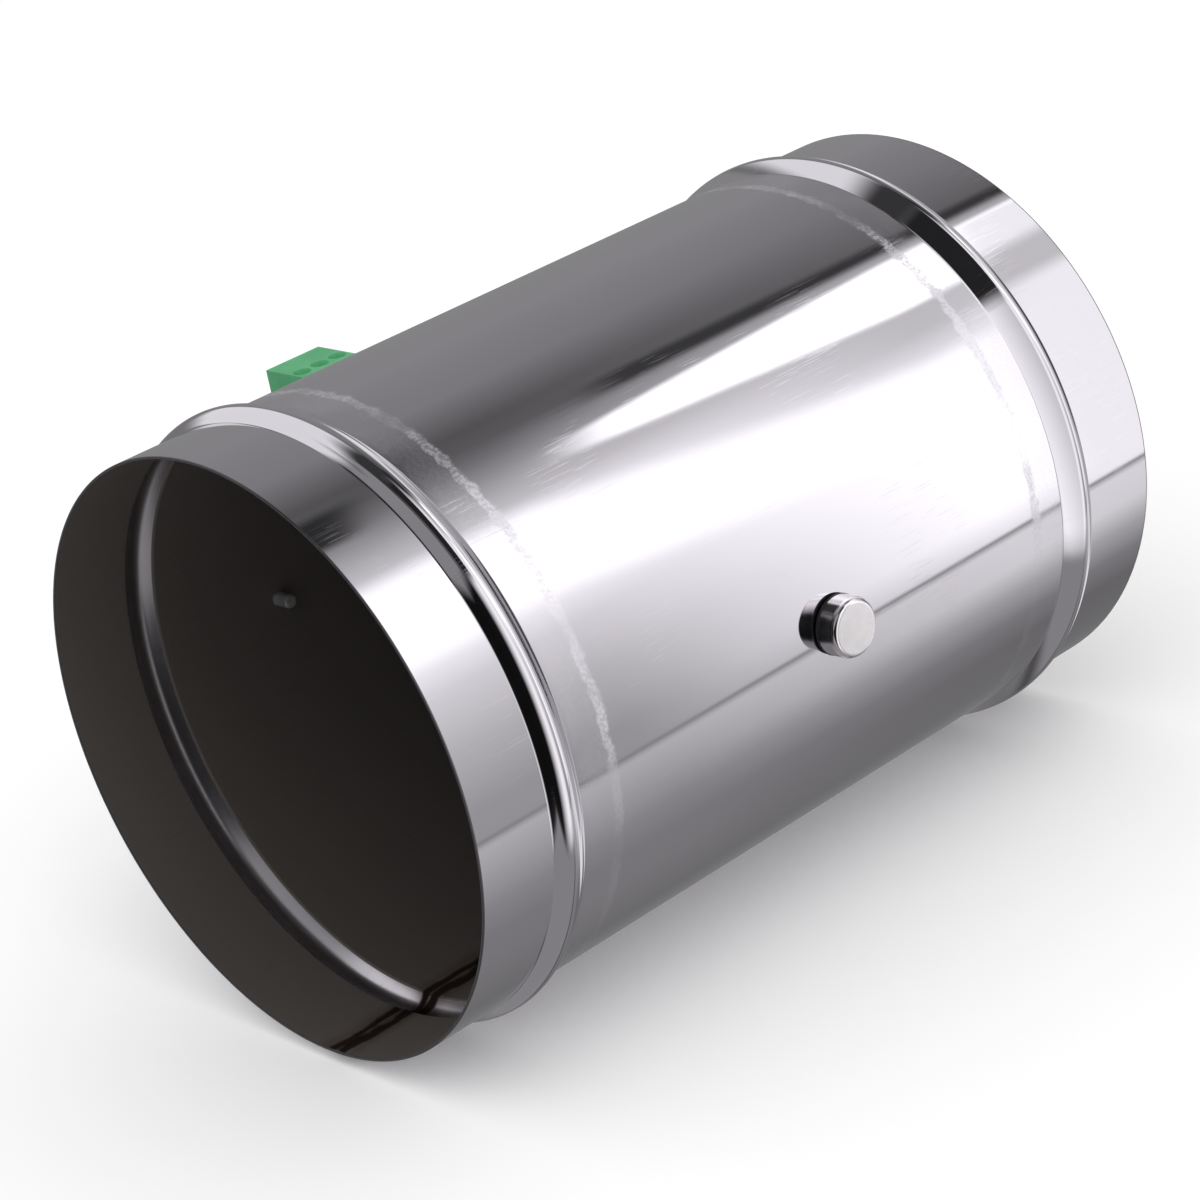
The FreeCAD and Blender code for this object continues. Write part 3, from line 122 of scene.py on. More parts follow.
def add_node(
    tree: bpy.types.NodeTree,
    kind: str,
    settings: dict[str, Any] | None = None,
    links: dict[int | str, Any] | None = None,
) -> bpy.types.Node:
    """Add a node with its settings and links.

    Args:
        tree: Node tree that takes the node.
        kind: Type name of the node.
        settings: Attributes to set on the node.
        links: Input name or number mapped to a socket to link or a plain value.

    Returns:
        The new node.
    """
    node = tree.nodes.new(kind)
    for name, setting in (settings or {}).items():
        setattr(node, name, setting)
    for name, source in (links or {}).items():
        if isinstance(source, bpy.types.NodeSocket):
            tree.links.new(source, node.inputs[name])
        else:
            node.inputs[name].default_value = source
    return node


class Slot(Enum):
    """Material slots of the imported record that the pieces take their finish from."""

    STAINLESS = "stainless_steel"
    CAP = "cap_steel"
    ZINC = "zinc_plated_steel"
    GALVANISED = "galvanised_sheet"
    SEAL = "seal_rubber"
    BLADE_SEAL = "blade_rubber"
    BEARING = "bearing_plastic"
    GEAR = "gear_plastic"
    CAM = "cam_plastic"
    PLUNGER = "plunger_plastic"
    SWITCH = "switch_plastic"
    BRASS = "brass_part"
    MAGNET = "dark_magnet"
    COPPER = "copper_wire"
    BOARD = "board_laminate"
    COMPONENT = "component_plastic"
    TERMINAL = "terminal_green"
    PIN = "tinned_pin"
    LEAD = "lead_insulation"
    COVER = "cover_plastic"


@dataclass(frozen=True)
class Finish:
    """A finish with a little variation of tone, gloss and surface.

    Attributes:
        name: Name of the real material.
        colour: Main colour as sRGB hex.
        shade: Colour of the darker patches as sRGB hex.
        roughness: Roughness of the cleaner patches.
        wear: Roughness added in the duller patches.
        metallic: Metallic share.
        ior: Index of refraction of a material that isn't metal.
        patch: Size of the patches.
        grain: Size of the surface grain.
        grain_depth: Depth of the surface grain.
        patch_levels: Levels of the noise between which a patch fades.
    """

    name: str
    colour: str
    shade: str
    roughness: float
    wear: float = 0.08
    metallic: float = 0.0
    ior: float = 1.5
    patch: float = 12 * MM
    grain: float = 0.4 * MM
    grain_depth: float = 0.004 * MM
    patch_levels: tuple[float, float] = (0.35, 0.65)

    def surface(self) -> tuple[bpy.types.Material, bpy.types.Node]:
        """Start the material.

        Returns:
            The new material and its surface shader, linked to the output.
        """
        material = bpy.data.materials.new(self.name)
        material.use_nodes = True
        tree = material.node_tree
        tree.nodes.clear()
        surface = add_node(tree, "ShaderNodeBsdfPrincipled", None, {"Metallic": self.metallic})
        if self.metallic == 0:
            surface.inputs["IOR"].default_value = self.ior
        add_node(tree, "ShaderNodeOutputMaterial", None, {0: surface.outputs[0]})
        return material, surface

    def make(self) -> bpy.types.Material:
        """Make the material.

        Returns:
            A material with patches of tone and gloss and a fine grain.
        """
        material, surface = self.surface()
        tree = material.node_tree
        place = add_node(tree, "ShaderNodeTexCoord").outputs["Object"]
        patches = add_node(tree, NOISE, None, {"Vector": place, "Scale": 1 / self.patch, "Detail": 4.0})
        low, high = self.patch_levels
        strength = add_node(tree, RANGE, SMOOTH, {0: patches.outputs[0], 1: low, 2: high})
        colours = {0: strength.outputs[0], 6: linear(self.shade), 7: linear(self.colour)}
        tone = add_node(tree, MIX, COLOURS, colours)
        gloss = add_node(tree, MATH, TIMES_PLUS, {0: strength.outputs[0], 1: self.wear, 2: self.roughness})
        grain = add_node(tree, NOISE, None, {"Vector": place, "Scale": 1 / self.grain, "Detail": 2.0})
        relief = {"Height": grain.outputs[0], "Distance": self.grain_depth, "Strength": 1.0}
        bump = add_node(tree, "ShaderNodeBump", None, relief)
        tree.links.new(tone.outputs[2], surface.inputs["Base Color"])
        tree.links.new(gloss.outputs[0], surface.inputs["Roughness"])
        tree.links.new(bump.outputs[0], surface.inputs["Normal"])
        return material


@dataclass(frozen=True)
class BrightStainless(Finish):
    """Bright annealed stainless sheet: a mirror outside with scratches and scuffs, dull inside, with painted
    shade darkening the bore.

    Attributes:
        sheet_radius: Radius halfway through the sheet.
        bore_edge: Depth over which the finish of the bore goes over into the outer one.
        inner: Darker colour of the inner wall as sRGB hex: partly its dull film, partly painted shade inside
            the bore.
        inner_dullness: Roughness added on the inner wall.
        inner_film: Share of the inner wall that its dull film covers.
        groove_dullness: Roughness added inside the beads.
        wave: Size of the waves of the sheet.
        wave_depth: Depth of the waves.
        scratch_length: Length of a scratch.
        scratch_width: Width of a scratch in metres, coarser than a real one so that it shows.
        scratch_depth: Depth of a scratch.
        scratch_ways: Directions of the scratches in degrees from the duct's axis.
        scratch_shift: Shift of each direction's pattern against the last, in lengths and widths.
        scratch_levels: Levels of the noise between which a scratch fades in.
        scratch_dullness: Roughness added in a scratch.
        handled: Size of the patches where hands left scratches.
        handled_levels: Levels of the noise between which such a patch fades in.
        marks: Distances of the roller scuffs from the inlet.
        rubbed: Width of the faintly rubbed zone between a bead and its scuff.
        rub: Strength of the rubbed zone.
        rub_edge: Width over which the rubbed zone fades.
        mark_width: Half width of a scuff.
        mark_depth: Depth of the pits in a scuff.
        mark_ragged: Size of the bays in a scuff's edge, and their depth,.
        speck: Size of the specks in a scuff.
        speck_levels: Levels of the noise between which a speck fades in.
        speck_least: Strength of a scuff between its specks.
        mark_top: Heights over the axis between which a scuff grows strong.
        mark_least: Strength of a scuff on the tube's lower half.
        mark_patch: Size of the stronger patches of a scuff.
        mark_levels: Levels of the noise between which such a patch fades in.
        mark_faint: Strength of a scuff between those patches.
        scuff_dullness: Roughness added in a scuff.
        scuff_haze: Share of a scuff that is so finely broken up that it looks white.
        weld_turn: Turn of the weld from the lowest line in degrees.
        weld: Colour of the burnt weld as sRGB hex.
        weld_line: Distance of the burnt lines from the middle of the weld.
        weld_width: Half width of a burnt line.
        weld_patch: Size of the clouds that make the burnt lines ragged.
        weld_ragged: How far those clouds shift the burnt lines.
        weld_dullness: Roughness added on the burnt lines.
        tint: Colour of the straw-coloured heat tint beside the weld as sRGB hex.
        tint_width: Half width of the heat tint.
        tint_strength: Strength of the heat tint beside the burnt line.
        core: Share of the half width of a scuff or burnt line that has its full strength.
        length: Length of the tube.
        cut_width: Width of the dull cut edge at each end in metres, coarse enough that its painted dark line
            shows.
        cut: Darker colour of the cut edge as sRGB hex: partly the dull cut, partly a painted dark reflection
            along the rim.
        cut_dullness: Roughness added on the cut edge.
    """

    sheet_radius: float = DUCT_RADIUS - SHEET / 2
    bore_edge: float = 0.1 * MM
    # Darker colour of the bore: its dull film and painted shade inside the tube
    inner: str = "#7f7975"
    inner_dullness: float = 0.33
    inner_film: float = 0.22
    groove_dullness: float = 0.24
    wave: float = 55 * MM
    wave_depth: float = 0.05 * MM
    scratch_length: float = 13 * MM
    scratch_width: float = 0.3 * MM
    scratch_depth: float = 0.0012 * MM
    scratch_ways: tuple[float, ...] = (78.0, 96.0, 8.0, 128.0)
    scratch_shift: tuple[float, float] = (3.7, 1.3)
    scratch_levels: tuple[float, float] = (0.8, 0.84)
    scratch_dullness: float = 0.1
    handled: float = 22 * MM
    handled_levels: tuple[float, float] = (0.45, 0.62)
    marks: tuple[float, ...] = (34 * MM, 154.5 * MM)
    rubbed: float = 8 * MM
    rub: float = 0.22
    rub_edge: float = 0.6 * MM
    mark_width: float = 1.6 * MM
    mark_depth: float = 0.003 * MM
    mark_ragged: float = 3 * MM
    speck: float = 0.7 * MM
    speck_levels: tuple[float, float] = (0.38, 0.6)
    speck_least: float = 0.45
    mark_top: tuple[float, float] = (-25 * MM, 5 * MM)
    mark_least: float = 0.3
    mark_patch: float = 16 * MM
    mark_levels: tuple[float, float] = (0.36, 0.56)
    mark_faint: float = 0.25
    scuff_dullness: float = 0.2
    scuff_haze: float = 0.28
    weld_turn: float = WELD_TURN
    weld: str = "#2e231d"
    weld_line: float = 3.4 * MM
    weld_width: float = 1.8 * MM
    weld_patch: float = 9 * MM
    weld_ragged: float = 4 * MM
    weld_dullness: float = 0.3
    tint: str = "#5f4f44"
    tint_width: float = 9.0 * MM
    tint_strength: float = 0.7
    core: float = 0.4
    length: float = DUCT_LENGTH
    cut_width: float = 0.3 * MM
    # Darker colour of the cut edge: the dull cut and a painted dark reflection along the rim
    cut: str = "#6c696e"
    cut_dullness: float = 0.3

    def scratches(self, tree: bpy.types.NodeTree, sheet: bpy.types.NodeSocket) -> bpy.types.NodeSocket:
        """Short straight scratches in a few directions.

        Args:
            tree: Node tree of the material.
            sheet: Place on the unrolled sheet.

        Returns:
            Strength of the scratches.
        """
        start, full = self.scratch_levels
        total: Any = 0.0
        for number, way in enumerate(self.scratch_ways):
            turn = {
                "Vector": sheet,
                "Location": (number * self.scratch_shift[0], number * self.scratch_shift[1], 0.0),
                "Rotation": (0.0, 0.0, -math.radians(way)),
                "Scale": (1 / self.scratch_length, 1 / self.scratch_width, 1.0),
            }
            laid = add_node(tree, "ShaderNodeMapping", None, turn)
            single = {"Vector": laid.outputs[0], "Scale": 1.0, "Detail": 0.0}
            dashes = add_node(tree, NOISE, {"noise_dimensions": "2D"}, single)
            line = add_node(tree, RANGE, SMOOTH, {0: dashes.outputs[0], 1: start, 2: full})
            total = add_node(tree, MATH, LARGER, {0: total, 1: line.outputs[0]}).outputs[0]
        handled = add_node(tree, NOISE, None, {"Vector": sheet, "Scale": 1 / self.handled, "Detail": 2.0})
        start, full = self.handled_levels
        worn = add_node(tree, RANGE, SMOOTH, {0: handled.outputs[0], 1: start, 2: full})
        return add_node(tree, MATH, TIMES, {0: total, 1: worn.outputs[0]}).outputs[0]

    def scuffs(self, tree: bpy.types.NodeTree, along: Any, height: Any, place: Any) -> bpy.types.NodeSocket:
        """Speckled scuff bands that the rollers left beside the beads.

        Args:
            tree: Node tree of the material.
            along: Distance from the inlet.
            height: Height over the axis.
            place: Place on the tube.

        Returns:
            Strength of the scuffs.
        """
        uneven = {"Vector": place, "Scale": 1 / self.mark_ragged, "Detail": 3.0}
        ragged = add_node(tree, NOISE, None, uneven)
        sway = {0: ragged.outputs[0], 1: self.mark_ragged, 2: -self.mark_ragged / 2}
        shift = add_node(tree, MATH, TIMES_PLUS, sway)
        moved = add_node(tree, MATH, PLUS, {0: along, 1: shift.outputs[0]}).outputs[0]
        half = self.rubbed / 2
        total: Any = 0.0
        for mark, outward in zip(self.marks, (-1, 1)):
            for middle, full, none, strength in (
                (mark + outward * half, half - self.rub_edge, half, self.rub),
                (mark, self.mark_width * self.core, self.mark_width, 1.0),
            ):
                off = add_node(tree, MATH, MINUS, {0: moved, 1: middle})
                away = add_node(tree, MATH, UNSIGNED, {0: off.outputs[0]})
                band = {0: away.outputs[0], 1: full, 2: none, 3: strength, 4: 0.0}
                line = add_node(tree, RANGE, SMOOTH, band)
                total = add_node(tree, MATH, LARGER, {0: total, 1: line.outputs[0]}).outputs[0]
        specks = add_node(tree, NOISE, None, {"Vector": place, "Scale": 1 / self.speck, "Detail": 3.0})
        spread = add_node(tree, NOISE, None, {"Vector": place, "Scale": 1 / self.mark_patch, "Detail": 2.0})
        for source, (none, full), least in (
            (specks.outputs[0], self.speck_levels, self.speck_least),
            (height, self.mark_top, self.mark_least),
            (spread.outputs[0], self.mark_levels, self.mark_faint),
        ):
            share = add_node(tree, RANGE, SMOOTH, {0: source, 1: none, 2: full, 3: least, 4: 1.0})
            total = add_node(tree, MATH, TIMES, {0: total, 1: share.outputs[0]}).outputs[0]
        return total

    def make(self) -> bpy.types.Material:
        """Make the material.

        Returns:
            The mirror-bright sheet with its scratches, scuffs and weld, and its dull inner wall darkened with
            painted shade.
        """
        material, surface = self.surface()
        tree = material.node_tree
        raw = add_node(tree, "ShaderNodeTexCoord").outputs["Object"]
        turn = {"Vector": raw, "Rotation": (math.radians(self.weld_turn), 0.0, 0.0)}
        place = add_node(tree, "ShaderNodeMapping", None, turn).outputs[0]
        along, across, up = add_node(tree, "ShaderNodeSeparateXYZ", None, {0: place}).outputs
        # Which face of the sheet it is: the bore with its grooves, or the outside
        spoke = add_node(tree, "ShaderNodeCombineXYZ", None, {1: across, 2: up}).outputs[0]
        away = add_node(tree, VECTOR_MATH, {"operation": "LENGTH"}, {0: spoke}).outputs["Value"]
        mid = self.sheet_radius
        bore = {0: away, 1: mid, 2: mid + self.bore_edge, 3: 1.0, 4: 0.0}
        inside = add_node(tree, RANGE, SMOOTH, bore).outputs[0]
        normal = add_node(tree, "ShaderNodeNewGeometry").outputs["True Normal"]
        facing = add_node(tree, VECTOR_MATH, {"operation": "DOT_PRODUCT"}, {0: normal, 1: spoke})
        groove = add_node(tree, MATH, BELOW, {0: facing.outputs["Value"], 1: 0.0}).outputs[0]
        outside = add_node(tree, MATH, MINUS, {0: 1.0, 1: groove}).outputs[0]
        # Wear of the outer face
        angle = add_node(tree, MATH, ANGLE, {0: across, 1: up}).outputs[0]
        unrolled = add_node(tree, MATH, TIMES, {0: angle, 1: self.sheet_radius}).outputs[0]
        sheet = add_node(tree, "ShaderNodeCombineXYZ", None, {0: along, 1: unrolled}).outputs[0]
        scratched = self.scratches(tree, sheet)
        marked = {0: self.scuffs(tree, along, up, place), 1: outside}
        scuffed = add_node(tree, MATH, TIMES, marked).outputs[0]
        burnt, tinted = self.scorch(tree, across, up, place)
        # Dull rim where the sheet was cut, darkened with a painted dark reflection along the rim
        middle = add_node(tree, MATH, MINUS, {0: along, 1: self.length / 2}).outputs[0]
        reach = add_node(tree, MATH, UNSIGNED, {0: middle}).outputs[0]
        edge = {0: reach, 1: self.length / 2 - self.cut_width}
        cut = add_node(tree, MATH, ABOVE, edge).outputs[0]
        tone: Any = linear(self.colour)
        for strength, colour in (
            # Painted shade inside the bore, on top of its dull film
            (inside, self.inner),
            (tinted, self.tint),
            (burnt, self.weld),
            # Painted dark reflection along the rim, on the dull cut edge
            (cut, self.cut),
        ):
            tone = add_node(tree, MIX, COLOURS, {0: strength, 6: tone, 7: linear(colour)}).outputs[2]
        dull: Any = self.roughness
        for strength, amount in (
            (scratched, self.scratch_dullness),
            (scuffed, self.scuff_dullness),
            (burnt, self.weld_dullness),
            (inside, self.inner_dullness),
            (groove, self.groove_dullness),
            (cut, self.cut_dullness),
        ):
            dull = add_node(tree, MATH, TIMES_PLUS, {0: strength, 1: amount, 2: dull}).outputs[0]
        bare: Any = self.metallic
        for strength, amount in ((inside, self.inner_film), (scuffed, self.scuff_haze)):
            bare = add_node(tree, MATH, TIMES_PLUS, {0: strength, 1: -amount, 2: bare}).outputs[0]
        waves = add_node(tree, NOISE, None, {"Vector": place, "Scale": 1 / self.wave, "Detail": 1.0})
        height = add_node(tree, MATH, TIMES, {0: waves.outputs[0], 1: self.wave_depth}).outputs[0]
        for strength, depth in ((scratched, self.scratch_depth), (scuffed, self.mark_depth)):
            height = add_node(tree, MATH, TIMES_PLUS, {0: strength, 1: -depth, 2: height}).outputs[0]
        bump = add_node(tree, "ShaderNodeBump", None, {"Height": height, "Distance": 1.0, "Strength": 1.0})
        tree.links.new(tone, surface.inputs["Base Color"])
        tree.links.new(dull, surface.inputs["Roughness"])
        tree.links.new(bare, surface.inputs["Metallic"])
        tree.links.new(bump.outputs[0], surface.inputs["Normal"])
        return material

    def scorch(
        self, tree: bpy.types.NodeTree, across: Any, up: Any, place: Any
    ) -> tuple[bpy.types.NodeSocket, bpy.types.NodeSocket]:
        """Ragged burnt lines on both sides of the weld and the heat tint beside them.

        Args:
            tree: Node tree of the material.
            across: Distance to the side of the weld.
            up: Height over the axis.
            place: Place on the tube.

        Returns:
            Strength of the burnt lines and of the tint.
        """
        side = add_node(tree, MATH, UNSIGNED, {0: across}).outputs[0]
        clouds = add_node(tree, NOISE, None, {"Vector": place, "Scale": 1 / self.weld_patch, "Detail": 3.0})
        swaying = {0: clouds.outputs[0], 1: self.weld_ragged, 2: side}
        ragged = add_node(tree, MATH, TIMES_PLUS, swaying).outputs[0]
        below = add_node(tree, MATH, BELOW, {0: up, 1: 0.0}).outputs[0]
        aside = add_node(tree, MATH, MINUS, {0: ragged, 1: self.weld_line}).outputs[0]
        apart = add_node(tree, MATH, UNSIGNED, {0: aside}).outputs[0]
        burn = {0: apart, 1: self.weld_width * self.core, 2: self.weld_width, 3: 1.0, 4: 0.0}
        fringe = {0: ragged, 1: self.weld_line, 2: self.tint_width, 3: self.tint_strength, 4: 0.0}
        strengths = []
        for band in (burn, fringe):
            strength = add_node(tree, RANGE, SMOOTH, band).outputs[0]
            strengths.append(add_node(tree, MATH, TIMES, {0: strength, 1: below}).outputs[0])
        return strengths[0], strengths[1]


FINISHES: dict[Slot, Finish] = {
    # Bright annealed 304 sheet: reflections stay sharp, with faint waves and rub marks
    Slot.STAINLESS: BrightStainless("bright_annealed_stainless", "#dad6dd", "#c8c5ca", 0.045, metallic=1.0),
    # Turned and polished steel cap: a soft, slightly dulled shine
    Slot.CAP: Finish("turned_stainless", "#efebee", "#e4e0e3", 0.13, 0.04, metallic=1.0, patch=5 * MM),
    # Zinc plated screws: a cool, slightly cloudy metal
    Slot.ZINC: Finish("zinc_plated_screw_steel", "#d2d5d7", "#b4b8bb", 0.28, metallic=0.8, patch=3 * MM),
    # Hot dip galvanised sheet: cool grey with cloudy crystals
    Slot.GALVANISED: Finish("galvanised_steel", "#b9bec2", "#9aa0a5", 0.33, metallic=1.0, patch=7 * MM),
    # Moulded black rubber: matt and very dark
    Slot.SEAL: Finish("black_moulded_rubber", "#1c1c1d", "#141414", 0.55, ior=1.52, patch=6 * MM),
    # Red-brown silicone seal disc: soft, waxy sheen
    Slot.BLADE_SEAL: Finish("silicone_seal", "#9c4a32", "#87402c", 0.48, ior=1.43, patch=15 * MM),
    # Acetal bush: milky white, slippery
    Slot.BEARING: Finish("acetal_bush", "#ebe8df", "#dedad0", 0.3, ior=1.48, patch=5 * MM),
    # Moulded acetal gears: natural white with a satin skin
    Slot.GEAR: Finish("moulded_acetal_gear", "#e9e6dc", "#d8d4c8", 0.34, ior=1.48, patch=6 * MM),
    # Red moulded cam
    Slot.CAM: Finish("moulded_red_acetal", "#a5261c", "#8e2018", 0.36, ior=1.48, patch=5 * MM),
    # Pale plunger of the limit switches
    Slot.PLUNGER: Finish("moulded_plunger", "#c9c3b2", "#bab39f", 0.4, ior=1.5, patch=3 * MM),
    # Black switch housings: glass filled, finely grained
    Slot.SWITCH: Finish("glass_filled_nylon", "#1f2023", "#17181a", 0.42, ior=1.53, patch=5 * MM),
    # Brass clamp cages and pins of the gearbox
    Slot.BRASS: Finish("brass", "#c9a45c", "#ab8544", 0.3, metallic=1.0, patch=4 * MM),
    # Sintered magnet: dark, even, slightly shiny
    Slot.MAGNET: Finish("sintered_ferrite", "#34343a", "#2a2a2f", 0.45, ior=1.8, patch=5 * MM),
    # Enamelled copper winding
    Slot.COPPER: Finish("enamelled_copper", "#b5623a", "#96492a", 0.32, metallic=1.0, patch=3 * MM),
    # Glass-epoxy board under green lacquer
    Slot.BOARD: Finish("lacquered_board", "#1f6b3a", "#195a31", 0.28, ior=1.55, patch=10 * MM),
    # Film capacitor and resistor bodies
    Slot.COMPONENT: Finish("dipped_component", "#c48a2c", "#ad7622", 0.35, ior=1.55, patch=5 * MM),
    # Green moulded terminal block: satin polyamide
    Slot.TERMINAL: Finish("moulded_green_nylon", "#59b07a", "#50a571", 0.38, ior=1.53, patch=7 * MM),
    # Tinned pins
    Slot.PIN: Finish("tinned_brass", "#d3d2cf", "#bdbcb8", 0.26, metallic=1.0, patch=2 * MM),
    # Red lead insulation
    Slot.LEAD: Finish("lead_insulation", "#a0211c", "#8d1c17", 0.4, ior=1.5, patch=4 * MM),
    # Dark moulded drive cover
    Slot.COVER: Finish("moulded_dark_polycarbonate", "#3b3d40", "#333538", 0.42, ior=1.58, patch=20 * MM),
}


class Paintbox:
    """Makes each finish once and hands it out by slot."""

    def __init__(self) -> None:
        """Start with no finish made."""
        self.made: dict[Slot, bpy.types.Material] = {}

    def take(self, slot: Slot) -> bpy.types.Material:
        """Give the material of a slot.

        Args:
            slot: Slot of the record.

        Returns:
            The material, made on first use.
        """
        if slot not in self.made:
            self.made[slot] = FINISHES[slot].make()
        return self.made[slot]

    def dress(self, item: bpy.types.Object, slot: Slot) -> None:
        """Put a slot's material on a piece.

        Args:
            item: Piece that is dressed.
            slot: Slot of the record.
        """
        item.data.materials.clear()
        item.data.materials.append(self.take(slot))


def finished(shape: bmesh.types.BMesh, name: str, body: str, *stands_for: str) -> bpy.types.Object:
    """Turn a modelled shape into a piece of the object.

    Args:
        shape: The modelled shape, freed afterwards.
        name: Name of the piece.
        body: CAD body that it rides on.
        *stands_for: CAD nodes that it replaces.

    Returns:
        The new piece.
    """
    mesh = bpy.data.meshes.new(name)
    shape.to_mesh(mesh)
    shape.free()
    item = bpy.data.objects.new(name, mesh)
    bpy.context.scene.collection.objects.link(item)
    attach(item, body)
    if stands_for:
        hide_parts(*stands_for)
    LOG.info("%s: %d faces", name, len(mesh.polygons))
    return item


def spun(
    profile: list[tuple[float, float]], axis: Vector, centre: Vector, steps: int, closed: bool = True
) -> bmesh.types.BMesh:
    """Turn a profile once round an axis.

    Args:
        profile: Pairs of distance along the axis and radius, in order.
        axis: Unit vector of the axis.
        centre: Point on the axis from which distances count.
        steps: Number of steps in the turn.
        closed: Whether the last point joins the first.

    Returns:
        The turned shape, smooth, with its faces outwards.
    """
    shape = bmesh.new()
    side = axis.orthogonal().normalized()
    verts = [shape.verts.new(centre + axis * run + side * radius) for run, radius in profile]
    edges = [shape.edges.new(pair) for pair in zip(verts, verts[1:])]
    if closed:
        edges.append(shape.edges.new((verts[-1], verts[0])))
    bmesh.ops.spin(
        shape,
        geom=verts + edges,
        cent=centre,
        axis=axis,
        angle=math.tau,
        steps=steps,
        use_merge=True,
        use_normal_flip=False,
        use_duplicate=False,
    )
    bmesh.ops.remove_doubles(shape, verts=shape.verts, dist=SAME_POINT)
    bmesh.ops.recalc_face_normals(shape, faces=shape.faces)
    for face in shape.faces:
        face.smooth = True
    return shape


def folds(shape: bmesh.types.BMesh, limit: float) -> list[bmesh.types.BMEdge]:
    """Edges of a shape where it turns sharply.

    Args:
        shape: Shape whose edges are looked at.
        limit: Angle in degrees above which an edge counts as sharp.

    Returns:
        The sharp edges.
    """
    sharp = math.radians(limit)
    return [edge for edge in shape.edges if len(edge.link_faces) == 2 and edge.calc_face_angle(0.0) > sharp]


def sharpen(shape: bmesh.types.BMesh, limit: float = 32.0) -> None:
    """Mark the edges where a smooth shape turns sharply.

    Args:
        shape: Shape whose edges are marked.
        limit: Angle in degrees above which an edge counts as sharp.
    """
    for edge in folds(shape, limit):
        edge.smooth = False


@dataclass(frozen=True)
class Bead:
    """One bead rolled into the tube.

    Attributes:
        crest: Distance of the crest from the inlet.
        outward: Sign of the direction to the nearer end of the tube.
        rise: Height of the bead.
        radius: Radius of the crest's arc on the outer face of the sheet.
        outer_lean: Slope in degrees of the flank towards the end.
        inner_lean: Slope in degrees of the flank towards the middle.
    """

    crest: float
    outward: int
    rise: float
    radius: float
    outer_lean: float
    inner_lean: float

    def lean(self, side: int) -> float:
        """Slope in radians of the flank on one side, -1 towards the inlet."""
        return math.radians(self.outer_lean if side == self.outward else self.inner_lean)

    def reach(self, side: int, depth: float = 0.0) -> float:
        """Width from the crest to the foot of one flank.

        Args:
            side: Side of the crest, -1 towards the inlet.
            depth: Depth under the outer face of the sheet.

        Returns:
            The width.
        """
        lean, arc = self.lean(side), self.radius - depth
        return arc * math.sin(lean) + (self.rise - arc * (1 - math.cos(lean))) / math.tan(lean)

    def height(self, off: float, depth: float = 0.0) -> float:
        """Height over the plain wall.

        Args:
            off: Distance from the crest, negative towards the inlet.
            depth: Depth under the outer face of the sheet.

        Returns:
            The height, zero beside the bead.
        """
        side = 1 if off > 0 else -1
        arc = self.radius - depth
        if abs(off) <= arc * math.sin(self.lean(side)):
            return self.rise - arc + math.sqrt(arc * arc - off * off)
        return max(self.reach(side, depth) - abs(off), 0.0) * math.tan(self.lean(side))


